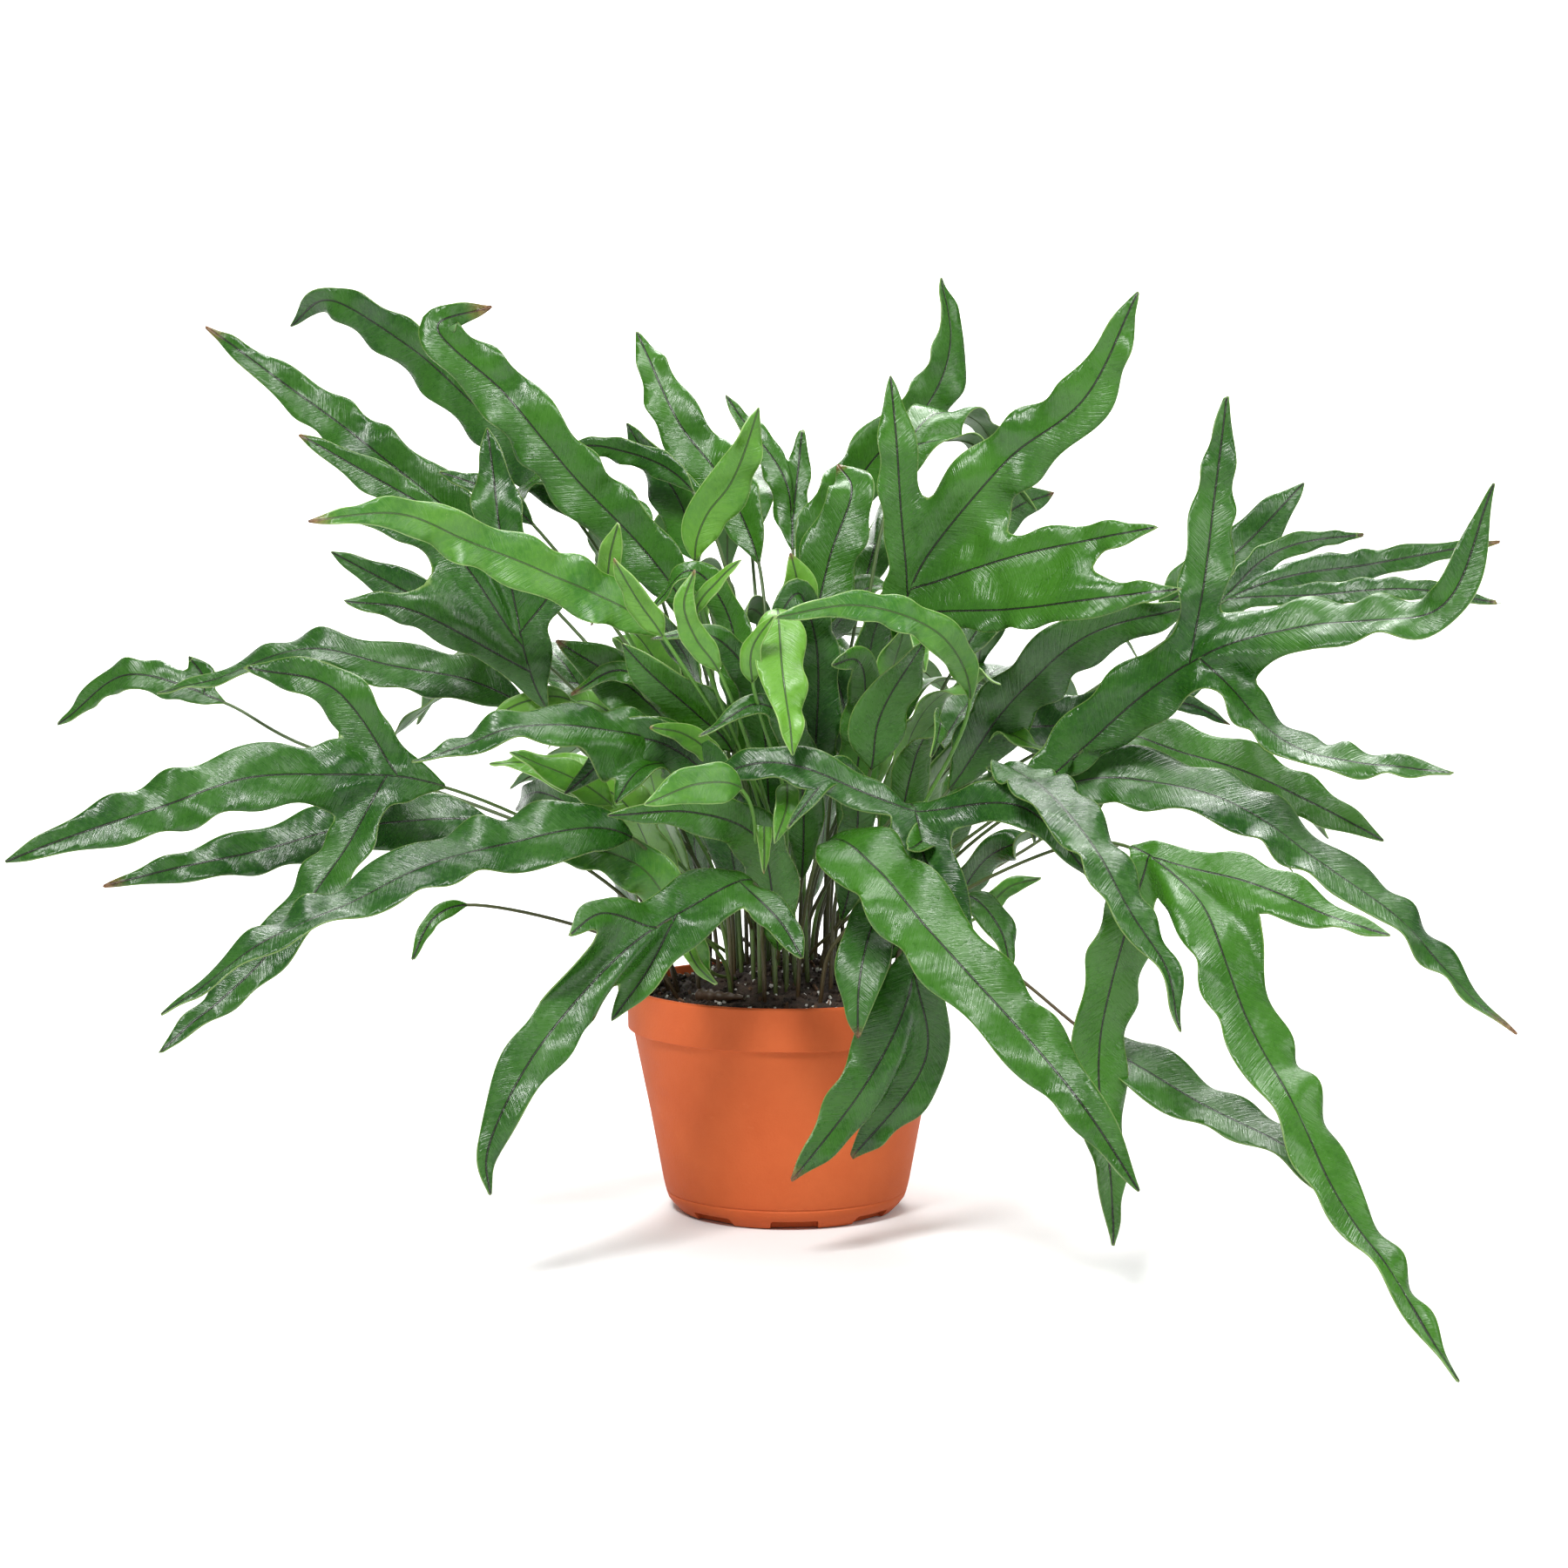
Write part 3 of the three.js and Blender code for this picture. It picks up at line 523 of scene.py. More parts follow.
def curve_at(points, shares):
    points = np.asarray(points, float)
    path = np.vstack([2 * points[0] - points[1], points, 2 * points[-1] - points[-2]])
    place = np.clip(shares, 0, 1) * (len(points) - 1)
    first = np.minimum(place.astype(int), len(points) - 2)
    w = (place - first)[:, None]
    p0, p1, p2, p3 = (path[first + k] for k in range(4))
    d0, d1, d2 = (np.sum((b - a) ** 2, axis=1)[:, None] ** 0.25
                  for a, b in ((p0, p1), (p1, p2), (p2, p3)))
    m1 = ((p1 - p0) / d0 - (p2 - p0) / (d0 + d1) + (p2 - p1) / d1) * d1
    m2 = ((p2 - p1) / d1 - (p3 - p1) / (d1 + d2) + (p3 - p2) / d2) * d1
    return (p1 + m1 * w + (3 * (p2 - p1) - 2 * m1 - m2) * w ** 2
            + (2 * (p1 - p2) + m1 + m2) * w ** 3)


def unit(vectors):
    return vectors / np.maximum(np.linalg.norm(vectors, axis=-1, keepdims=True), 1e-9)


def turned(vectors, axes, angles):
    c, s = np.cos(angles)[:, None], np.sin(angles)[:, None]
    along = axes * np.sum(axes * vectors, axis=1)[:, None]
    return vectors * c + np.cross(axes, vectors) * s + along * (1 - c)


def stem_of(row):
    x, y = row["stipe"][0]
    bottom = soil_height(math.hypot(x, y)) + FOOT_GAP
    nx, ny, nz = row["stipe"][1]
    climb = [x + RISE_OUT * (nx - x), y + RISE_OUT * (ny - y), bottom + RISE_UP * (nz - bottom)]
    return [[x, y, bottom], climb, *row["stipe"][1:]]


print(f"soil height: {soil_height(0)} mm at the middle, {soil_height(RIM_RADIUS)} mm at the rim")

# %% [markdown]
# A rib is kept as a list of stations: the point, the direction along, the direction to the
# left and the leaf's upper face, all by distance along the rib. The face turns a little from
# base to tip, which is what gives the long fronds their lazy twist.

# %% Ribs with their frames
RIB_STEPS, STALK_STEPS = 90, 30
LOBE_SETTLE = 22.0
LOBE_SHARE = 0.76
CHORD = 40.0
LEAST_BRANCH, MOST_BRANCH = math.radians(30), math.radians(110)
SLENDER = {"left_fan": 0.62, "right_fan": 0.66, "front_left": 0.55, "front_pot": 0.74,
           "front_long": 0.84}


class Rib:
    def __init__(self, points, wanted, twists, half, joint=None):
        self.points = points
        gaps = np.linalg.norm(np.diff(points, axis=0), axis=1)
        self.dist = np.concatenate([[0], np.cumsum(gaps)])
        self.length = self.dist[-1]
        self.along = unit(np.gradient(points, axis=0))
        face = wanted - self.along * (self.along @ wanted)[:, None]
        face = turned(unit(face), self.along, twists)
        if joint is not None:
            share = np.clip(self.dist / LOBE_SETTLE, 0, 1)[:, None]
            share = share * share * (3 - 2 * share)
            face = joint * (1 - share) + face * share
            face = face - self.along * np.sum(face * self.along, axis=1)[:, None]
        self.face = unit(face)
        self.left = np.cross(self.face, self.along)
        self.half = half
        self.start, self.heading = np.zeros(2), 0.0

    def at(self, s):
        """Point, left and face at distance s, straight on beyond the ends."""
        inside = np.clip(s, 0, self.length)
        point, left, face, along = (
            np.stack([np.interp(inside, self.dist, f[:, k]) for k in range(3)], axis=1)
            for f in (self.points, self.left, self.face, self.along))
        return point + unit(along) * (s - inside)[:, None], unit(left), unit(face)

    def local(self, flat):
        """How far along the rib and to its left flat points are, on the flattened leaf."""
        away = flat - self.start
        c, s = math.cos(self.heading), math.sin(self.heading)
        return away[:, 0] * c + away[:, 1] * s, away[:, 1] * c - away[:, 0] * s


def grow(row, k):
    """The stalk's points and the ribs of the blade and its lobes, before the frond is posed."""
    stem = stem_of(row)
    line = [*stem, *row["blade"]]
    base = (len(stem) - 1) / (len(line) - 1)
    foot, tip = np.array(stem[0]), np.array(row["blade"][-1], float)
    outward = unit((tip - foot) * (1, 1, 0))
    wanted = unit(np.array(row["face"], float)) + OUTWARD * outward
    twist = TWIST if k % 2 else -TWIST
    share = np.linspace(0, 1, RIB_STEPS)
    half = row["width"] / 2
    main = Rib(curve_at(line, base + (1 - base) * share), wanted, twist * share, half)
    ribs = [main]
    for start_share, over, end in row["lobes"]:
        start = curve_at(line, np.array([base + (1 - base) * start_share]))[0]
        at = np.interp(start_share, share, main.dist)
        lobe = Rib(curve_at([start, over, end], share), wanted, twist * (start_share + 0.5 * share),
                   SLENDER.get(row["name"], LOBE_SHARE) * half, main.at(np.array([at]))[2][0])
        reach = min(CHORD, 0.9 * lobe.length)
        point, left, _ = (v[0] for v in main.at(np.array([at])))
        ahead = unit(main.at(np.array([min(at + reach, main.length)]))[0][0] - point)
        chord = unit(lobe.at(np.array([reach]))[0][0] - point)
        side = np.cross(unit(np.cross(ahead, left)), ahead)
        angle = math.atan2(chord @ side, chord @ ahead)
        lobe.heading = math.copysign(min(max(abs(angle), LEAST_BRANCH), MOST_BRANCH), angle)
        lobe.start = np.array([at, 0.0])
        ribs.append(lobe)
    stalk_line = curve_at(line, base * np.linspace(0, 1, STALK_STEPS))
    return stalk_line, ribs, foot, tip


print(f"stations on each rib: {RIB_STEPS}, on each stalk: {STALK_STEPS}")

# %% [markdown]
# In the frame some fronds were turned or leaned a few degrees about their foot, to stand clear
# of their neighbours. Their solids tell by how much: the same small turns are tried in order,
# and the one that brings the frond's tips onto its solid is kept.

# %% Each frond's own turn and lean
TRIES = sorted(((turn, lean) for turn in range(-24, 25, 2) for lean in range(-16, 17, 2)),
               key=lambda steps: math.hypot(*steps))
CLEARLY_BETTER, NEAR = 0.05, 1.2


def pose_of(foot, tip, turn, lean):
    turn, lean = math.radians(turn), math.radians(lean)
    out = math.atan2(tip[1] - foot[1], tip[0] - foot[0]) + turn
    c, s = math.cos(turn), math.sin(turn)
    spin = np.array([[c, -s, 0], [s, c, 0], [0, 0, 1]])
    x, y = math.sin(out), -math.cos(out)
    c, s = math.cos(lean), math.sin(lean)
    tilt = np.array([[c + x * x * (1 - c), x * y * (1 - c), y * s],
                     [x * y * (1 - c), c + y * y * (1 - c), -x * s], [-y * s, x * s, c]])
    return tilt @ spin


def find_pose(ribs, foot, tip, solid):
    ends = np.array([rib.points[-1] for rib in ribs])
    corners = points_of(solid.data) / MM
    best = (1e9, None)
    for turn, lean in TRIES:
        matrix = pose_of(foot, tip, turn, lean)
        posed = (ends - foot) @ matrix.T + foot
        miss = max(np.min(np.linalg.norm(corners - end, axis=1)) for end in posed)
        if miss < best[0] - CLEARLY_BETTER:
            best = (miss, matrix, (turn, lean))
    return best


def place_frond(row, k, solid=None):
    stalk_line, ribs, foot, tip = grow(row, k)
    if solid is not None:
        miss, matrix, steps = find_pose(ribs, foot, tip, solid)
        if steps != (0, 0) or miss > NEAR:
            print(f"  {row['name']}: turned {steps[0]}, leaned {steps[1]} degrees, off {miss:.2f} mm")
        stalk_line = (stalk_line - foot) @ matrix.T + foot
        for rib in ribs:
            rib.points = (rib.points - foot) @ matrix.T + foot
            rib.along, rib.left, rib.face = (f @ matrix.T for f in (rib.along, rib.left, rib.face))
    return stalk_line, ribs


grown = {row["name"]: place_frond(row, k, nodes["frond_" + row["name"]])
         for k, row in enumerate(rows)}
grown.update({row["name"]: place_frond(row, k) for k, row in enumerate(hearts)})
print("fronds grown:", len(grown))

# %% [markdown]
# ## The blade, flat first
# A lobed leaf is easiest to cut out flat, like cloth, and bend afterwards. The outline is a
# distance rule: how far a point is outside the nearest rib's half width. Blending the ribs'
# distances softly rounds the armpits between the lobes. The half width swells and shrinks
# along the rib, which makes the scalloped margin, and each side has its own rhythm.

# %% The outline rule
USUAL_HALF = 15
WAVE, WAVE_DEPTH = 36.0, 0.11
WEB = 5.0
GRAIN = 2.1
OVERHANG = -0.35 * GRAIN
# How wide a neck starts, and by what share of the rib, and at most how far, it has opened.
BLADE_NECK, LOBE_NECK = (0.13, 0.26, 34.0), (0.42, 0.5, 48.0)


def rhythm(rib, s, side):
    """Where in its wave the margin is: irregular, with its own start on each side."""
    phase = np.where(side > 0, rib.beat[0], rib.beat[1])
    wave = rib.wave
    drift = 0.9 * np.sin(2 * math.pi * s / (2.7 * wave) + 2 * phase)
    return 2 * math.pi * s / wave + phase + drift


def half_width(rib, s, side, lobe):
    u = np.clip(s / rib.length, 0, 1)
    start, share, most = LOBE_NECK if lobe else BLADE_NECK
    opening = min(share * rib.length, most)
    rise = start + (1 - start) * np.sin(0.5 * math.pi * np.clip(s / opening, 0, 1))
    taper = 1 - 0.95 * u ** rib.point
    swell = 1 + WAVE_DEPTH * np.sin(rhythm(rib, s, side)) * np.clip(s / 25, 0, 1)
    return rib.half * rise * taper * swell


def outside(ribs, flat):
    """Distance in millimetres outside the blade's outline: negative on the leaf."""
    total = None
    for number, rib in enumerate(ribs):
        s, t = rib.local(flat)
        near = np.clip(s, 0, rib.length)
        gap = np.hypot(t, s - near) - half_width(rib, near, t, number > 0)
        if total is None:
            total = gap
        else:
            blend = np.maximum(WEB - np.abs(total - gap), 0) / WEB
            total = np.minimum(total, gap) - blend ** 2 * WEB / 4
    return total


def pull_to_outline(ribs, flat):
    step = 0.05
    for _ in range(5):
        gap = outside(ribs, flat)
        slope = np.stack([outside(ribs, flat + (step, 0)) - gap,
                          outside(ribs, flat + (0, step)) - gap], axis=1) / step
        flat = flat - slope * (gap / np.maximum(np.sum(slope ** 2, axis=1), 0.3))[:, None]
    return flat


print(f"a margin wave is {WAVE} mm long and {WAVE_DEPTH:.0%} of the half width deep")

# %% [markdown]
# The flat leaf starts as a grid whose middle row lies on the midrib. Squares wholly outside
# the outline are deleted, and the corners that hang over are pulled back onto it. Faces are
# chosen in object mode, by their place, and deleted in edit mode.

# %% Cut out a flat blade
MERGE = 0.25


def edit(select=None):
    bpy.ops.object.mode_set(mode="EDIT")
    if select:
        bpy.ops.mesh.select_all(action=select)


def leave_edit():
    bpy.ops.object.mode_set(mode="OBJECT")


def read_whole(items, field):
    values = np.empty(len(items), np.int32)
    items.foreach_get(field, values)
    return values


def cut_blade(name, ribs):
    ends = np.array([rib.start + rib.length * np.array([math.cos(rib.heading), math.sin(rib.heading)])
                     for rib in ribs] + [[0, 0]])
    room = ribs[0].half * (1 + WAVE_DEPTH) + GRAIN
    low = np.floor((ends.min(axis=0) - room) / GRAIN)
    high = np.ceil((ends.max(axis=0) + room) / GRAIN)
    cells = (high - low).astype(int)
    bpy.ops.mesh.primitive_grid_add(x_subdivisions=int(cells[0]), y_subdivisions=int(cells[1]), size=1,
                                    calc_uvs=False)
    blade = bpy.context.object
    blade.name = name
    mesh = blade.data
    flat = ((points_of(mesh)[:, :2] + 0.5) * cells + low) * GRAIN
    inside = outside(ribs, flat) < OVERHANG
    move_points(mesh, np.column_stack([flat, np.zeros(len(flat))]))
    corners = read_whole(mesh.loops, "vertex_index")
    empty = ~inside[corners.reshape(-1, 4)].any(axis=1)
    pick(blade)
    edit("DESELECT")
    bpy.ops.mesh.select_mode(type="FACE")
    leave_edit()
    mesh.polygons.foreach_set("select", empty)
    edit()
    bpy.ops.mesh.delete(type="FACE")
    leave_edit()
    flat = points_of(mesh)[:, :2]
    over = outside(ribs, flat) > OVERHANG
    flat[over] = pull_to_outline(ribs, flat[over])
    move_points(mesh, np.column_stack([flat, np.zeros(len(flat))]))
    edit()
    bpy.ops.mesh.select_mode(type="VERT")
    bpy.ops.mesh.select_all(action="SELECT")
    bpy.ops.mesh.remove_doubles(threshold=MERGE)
    bpy.ops.mesh.delete_loose()
    leave_edit()
    return blade


print(f"a blade is cut from squares of {GRAIN} mm, points closer than {MERGE} mm are merged")


# %% [markdown]
# ## Bend it onto its ribs
# Now every flat point is carried out onto the ribs in space. Near a joint it listens to all of
# them, and the closest rib speaks loudest. Then the surface is lifted along its own face: each
# half arches up from the sunken midrib, the margins ruffle, and the whole blade sways gently.

# %% Blade onto ribs
RUFFLE, MARGIN_DEPTH = 3.5, 4.5
SWAY, SWAY_LENGTH = 1.8, 88
ARCH, ARCH_FALL = 0.24, 0.0135
DRY_FROM, DRY_FADE = 0.94, 0.06


def carry(ribs, flat, amount):
    """Where flat points go in space, with the surface relief, and the face there."""
    places, faces, weights, lifts = [], [], [], []
    gap = np.minimum(outside(ribs, flat), 0)
    for rib in ribs:
        s, t = rib.local(flat)
        near = np.clip(s, 0, rib.length)
        away = (t ** 2 + (s - near) ** 2)
        point, left, face = rib.at(s)
        places.append(point + left * t[:, None])
        faces.append(face)
        weights.append(1 / (away + 4) ** 2)
        size = rib.half / USUAL_HALF
        soft = np.sqrt(t ** 2 + 1.2) - 1.1
        arch = ARCH * soft - ARCH_FALL * soft ** 2 / max(size, 0.5)
        near_margin = np.exp(gap / (MARGIN_DEPTH * size))
        ruffle = RUFFLE * size * amount * (0.50 * near_margin + 0.50 * (1 - np.exp(-soft / 4)))
        ruffle *= 0.65 + 0.35 * np.sin(2 * math.pi * near / (2.3 * rib.wave) + 3 * rib.beat[2])
        steady = np.clip(near / 30, 0, 1) * np.clip((rib.length - near) / 14, 0, 1)
        waved = ruffle * steady * np.sin(rhythm(rib, near, t) + 1.3)
        sway = SWAY * np.sin(2 * math.pi * near / SWAY_LENGTH + rib.beat[2]) * np.clip(near / 40, 0, 1)
        lifts.append(arch + waved + sway)
    share = np.array(weights)
    share /= share.sum(axis=0)
    place = np.einsum("rn,rnk->nk", share, np.array(places))
    face = unit(np.einsum("rn,rnk->nk", share, np.array(faces)))
    return place + face * np.einsum("rn,rn->n", share, np.array(lifts))[:, None], face


def map_blade(mesh, ribs, flat, tone, dry):
    """The blade's own map and attributes, which the leaf finishes read."""
    corners = read_whole(mesh.loops, "vertex_index")
    sizes = read_whole(mesh.polygons, "loop_total")
    starts = np.concatenate([[0], np.cumsum(sizes)[:-1]])
    middles = np.add.reduceat(flat[corners], starts, axis=0) / sizes[:, None]
    reaches, locals_ = [], []
    for rib in ribs:
        s, t = rib.local(middles)
        reaches.append(np.hypot(t, s - np.clip(s, 0, rib.length)))
        locals_.append(rib.local(flat[corners]))
    nearest = np.repeat(np.argmin(np.array(reaches), axis=0), sizes)
    along = np.choose(nearest, [p[0] for p in locals_])
    across = np.choose(nearest, [p[1] for p in locals_])
    layer = mesh.uv_layers.new(name="blade")
    layer.data.foreach_set("uv", (np.stack([across, along], axis=1) * MM).astype(np.float32).ravel())
    depth = np.maximum(-outside(ribs, flat), 0) * MM
    ends = []
    for rib in ribs:
        s, t = rib.local(flat)
        ends.append(np.clip(s / rib.length, 0, 1) * (np.abs(t) < rib.half))
    end = np.max(ends, axis=0)
    withered = dry * np.clip((end - DRY_FROM) / DRY_FADE, 0, 1)
    for label, values in (("depth", depth), ("tone", np.full(len(flat), tone)), ("dry", withered)):
        layer = mesh.attributes.new(label, "FLOAT", "POINT")
        layer.data.foreach_set("value", values.astype(np.float32))


print(f"margins ruffle by up to {RUFFLE} mm, blades sway by up to {SWAY} mm")

# %% [markdown]
# Stalk and midrib are one tapering cord, drawn as a curve with a round bevel and turned into
# a mesh. The midrib stands out a little under the blade, as it does on the living leaf.

# %% Stalks and ribs
STALK_RADIUS, STALK_TOP = 1.05, 0.85
RIB_RADIUS, RIB_MIDDLE, TIP_RADIUS = 0.62, 0.42, 0.22
CORD_STEPS, MERGE_STEPS = 36, 8
SUNK = 9.0


def tube(name, points, radii, roundness=1):
    bpy.ops.curve.primitive_nurbs_path_add()
    cord = bpy.context.object
    cord.name = name
    cord.data.splines.clear()
    spline = cord.data.splines.new("POLY")
    spline.points.add(len(points) - 1)
    for point, place, radius in zip(spline.points, points, radii):
        point.co = (*(place * MM), 1)
        point.radius = radius
    cord.data.dimensions = "3D"
    cord.data.bevel_depth = MM
    cord.data.bevel_resolution = roundness
    cord.data.use_fill_caps = True
    pick(cord)
    bpy.ops.object.convert(target="MESH")
    return bpy.context.object


def stalk_and_ribs(name, stalk_line, ribs, amount):
    cords = []
    for number, rib in enumerate(ribs):
        s = np.linspace(0, rib.length - 1.5, CORD_STEPS)
        flat = rib.start + s[:, None] * np.array([math.cos(rib.heading), math.sin(rib.heading)])
        place, face = carry(ribs, flat, amount)
        radii = np.interp(s, [0, 0.35 * rib.length, rib.length], [RIB_RADIUS, RIB_MIDDLE, TIP_RADIUS])
        place = place - face * (0.3 + 0.75 * radii)[:, None]
        if number == 0:
            line = stalk_line.copy()
            bottom = line[0] - (0, 0, SUNK)
            ease = np.linspace(0, 1, len(line))[:, None] ** 6
            line = line + (place[0] - line[-1]) * ease
            place = np.vstack([bottom, line[:-1], place])
            stalk_radii = np.linspace(STALK_RADIUS, STALK_TOP, len(line))
            radii = np.concatenate([[STALK_RADIUS], stalk_radii[:-1], radii])
            end = len(line) + MERGE_STEPS
            radii[len(line):end] = np.linspace(STALK_TOP, radii[end], MERGE_STEPS)
        cords.append(tube(f"{name}_cord", place, radii))
    return cords


print(f"stalks are {2 * STALK_RADIUS} mm thick, midribs {2 * RIB_RADIUS} mm")

# %% [markdown]
# Every finished piece ends the same way. Its modifiers are applied, it is shaded smooth, it
# rides on a body of the frame, and it may stand for plain solids of the frame, which it then
# replaces.

# %% Finishing helpers
def apply_modifier(piece, kind, **settings):
    pick(piece)
    modifier = piece.modifiers.new(kind.title(), kind)
    for key, value in settings.items():
        setattr(modifier, key, value)
    bpy.ops.object.modifier_apply(modifier=modifier.name)


def smooth(piece):
    pick(piece)
    bpy.ops.object.shade_smooth()


def keep(piece, slot, *stands_for):
    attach(piece, "root")
    if stands_for:
        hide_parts(*stands_for)
    return piece


# %% [markdown]
# A blade is thin but not a sheet of paper: a Solidify modifier gives it its thickness and puts
# the underside's own material below. Last, blade and cords are joined into one piece.

# %% Make a whole frond
BLADE_THICKNESS, DRY_SHARE = 0.6, 0.2
BLUNT = {"back_tall": 5.5, "right_fan": 5.0, "left_fan": 5.0, "left_tall": 6.0, "left_hooked": 5.0,
         "right_gloss": 4.5, "centre_fold": 5.0, "right_inner": 5.0, "back_left": 4.5}
LIGHTNESS = {"left_bright": 0.1, "front_thin": 0.0, "front_leaf": 0.0, "centre_pale": 0.9,
             "centre_bright": 0.5, "centre_drop": 1.0, "left_hand": 0.2, "right_long": 0.1}


def finish_frond(row, *stands_for):
    young = row["tone"] == "young"
    stalk_line, ribs = grown[row["name"]]
    amount = 1.3 if young else dice.uniform(0.85, 1.2)
    for rib in ribs:
        rib.beat = dice.uniform(0, 2 * math.pi, 3)
        rib.wave = WAVE * (rib.half / USUAL_HALF) ** 0.7 * dice.uniform(0.85, 1.15)
        rib.point = BLUNT.get(row["name"], dice.uniform(2.8, 4.0))
    name = "leaf_" + row["name"]
    blade = cut_blade(name, ribs)
    flat = points_of(blade.data)[:, :2]
    tone = LIGHTNESS.get(row["name"], dice.uniform(0, 1))
    map_blade(blade.data, ribs, flat, tone, float(dice.uniform() < DRY_SHARE))
    place, _ = carry(ribs, flat, amount)
    move_points(blade.data, place * MM)
    for finish in (young_top, young_under, young_stalk) if young else (leaf_top, leaf_under, stalk):
        blade.data.materials.append(finish)
    apply_modifier(blade, "SOLIDIFY", thickness=BLADE_THICKNESS * MM, offset=-1, use_even_offset=False,
                   material_offset=1, material_offset_rim=0)
    cords = stalk_and_ribs(name, stalk_line, ribs, amount)
    for cord in cords:
        cord.data.materials.clear()
        for finish in blade.data.materials:
            cord.data.materials.append(finish)
        cord.data.polygons.foreach_set("material_index", np.full(len(cord.data.polygons), 2, np.int32))
    pick(blade, *cords)
    bpy.ops.object.join()
    blade.data.name = name
    smooth(blade)
    return keep(blade, "young_frond" if young else "frond", *stands_for)


print(f"blades are {BLADE_THICKNESS} mm thick")

# %% [markdown]
# The fronds that stand for the frame's own solids are made first. The small leaves come after
# them and stand for none.

# %% Make every frond
made = [finish_frond(row, "frond_" + row["name"]) for row in rows]
made += [finish_frond(row) for row in hearts]
lowest = min(points_of(piece.data)[:, 2].min() for piece in made)
print("finished fronds:", len(made), "faces:", sum(len(piece.data.polygons) for piece in made))
print(f"lowest point of any frond: {lowest / MM:.1f} mm")

# %% [markdown]
# ## The nursery pot
# A grower's pot is injection moulded: a thin tapering wall, a stiff band round the rim, a
# small heel at the foot where it was parted from the mould, and slots and holes for water.
# Its outline is drawn once, as a closed loop of points, and spun round the upright.

# %% Spin an outline
POT_STEPS = 160


def spun(name, outline, steps):
    bpy.ops.mesh.primitive_circle_add(vertices=len(outline), radius=1)
    piece = bpy.context.object
    piece.name = piece.data.name = name
    move_points(piece.data, [(r * MM, 0, z * MM) for r, z in outline])
    pick(piece)
    edit("SELECT")
    bpy.ops.mesh.spin(steps=steps, angle=2 * math.pi, center=(0, 0, 0), axis=(0, 0, 1),
                      use_auto_merge=True)
    bpy.ops.mesh.select_all(action="SELECT")
    bpy.ops.mesh.remove_doubles(threshold=0.01 * MM)
    bpy.ops.mesh.delete_loose(use_verts=False, use_edges=True, use_faces=False)
    bpy.ops.mesh.select_all(action="SELECT")
    bpy.ops.mesh.normals_make_consistent(inside=False)
    leave_edit()
    return piece


POT_OUTLINE = [
    (0, 0), (30, 0), (30, 2), (45, 2), (45, 0), (50.4, 0), (51, 0.5), (53.6, 3.2), (55.8, 6),
    (56.7, 8.6),
    (56.45, 9.1), (56.5, 9.6), (57.05, 10), (58, 14), (64, 46.5), (71.9, 85.4), (72.3, 86), (73.9, 86),
    (74.4, 86.4), (74.75, 103.8), (75, 104.5), (74.9, 105.4), (74.3, 106), (72.9, 106), (72.4, 105.6),
    (72.1, 104), (70.3, 86), (55.2, 9), (49.2, 5), (0, 5),
]
pot = spun("pot_shell", POT_OUTLINE, POT_STEPS)
print("pot faces:", len(pot.data.polygons))

# %% [markdown]
# The water slots round the foot and the drain holes under the floor are cut with Boolean
# modifiers. A block stands at each slot and a drill at each hole, and each ring of them is
# joined into one cutter, so that each kind of hole needs a single cut.

# %% Cut the slots and the drain holes
SLOTS, SLOT_RING, SLOT_TURN, SLOT_SIZE = 8, 53.5, 4, (13, 22, 8)
DRAINS, DRAIN_RING, DRAIN_TURN = 8, 37.5, 22.5
DRILL_RADIUS, DRILL_DEPTH = 4, 30


def ring_of(maker, count, first, radius):
    copies = []
    for k in range(count):
        turn = math.radians(first + k * 360 / count)
        maker((radius * math.cos(turn) * MM, radius * math.sin(turn) * MM, 0), turn)
        copies.append(bpy.context.object)
    pick(*copies)
    bpy.ops.object.join()
    bpy.ops.object.transform_apply(location=True, rotation=True, scale=True)
    return bpy.context.object


def slot_block(place, turn):
    bpy.ops.mesh.primitive_cube_add(size=1, location=place, rotation=(0, 0, turn),
                                    scale=[length * MM for length in SLOT_SIZE])
    apply_modifier(bpy.context.object, "BEVEL", width=1.2 * MM, segments=3)


def drill(place, _turn):
    bpy.ops.mesh.primitive_cylinder_add(vertices=24, radius=DRILL_RADIUS * MM, depth=DRILL_DEPTH * MM,
                                        location=place)


for cutter in (ring_of(slot_block, SLOTS, SLOT_TURN - 90, SLOT_RING),
               ring_of(drill, DRAINS, DRAIN_TURN, DRAIN_RING)):
    apply_modifier(pot, "BOOLEAN", operation="DIFFERENCE", object=cutter, solver="EXACT")
    bpy.data.objects.remove(cutter)
apply_modifier(pot, "BEVEL", width=0.25 * MM, segments=2, limit_method="ANGLE",
               angle_limit=math.radians(40))
pot.data.materials.append(terracotta)
pick(pot)
bpy.ops.object.shade_smooth_by_angle(angle=math.radians(30))
keep(pot, "pot", "pot")
print("pot faces with its holes:", len(pot.data.polygons))

# %% [markdown]
# ## The soil
# Potting mix is a loose mound, never level. It is spun like the pot, in fine rings, and its
# top is roughened with noise of three sizes: broad humps, lumps a few millimetres across, and
# a finer grain.

# %% A crumbly mound
MOUND, MOUND_REACH, HEAP = 13.0, 60, 1.2
SOIL_RADIUS, EDGE_CALM = 71.9, 6
TOP_RADIUS, TOP_START = 69.2, 98.6
TOP_RINGS, SOIL_STEPS = 62, 190


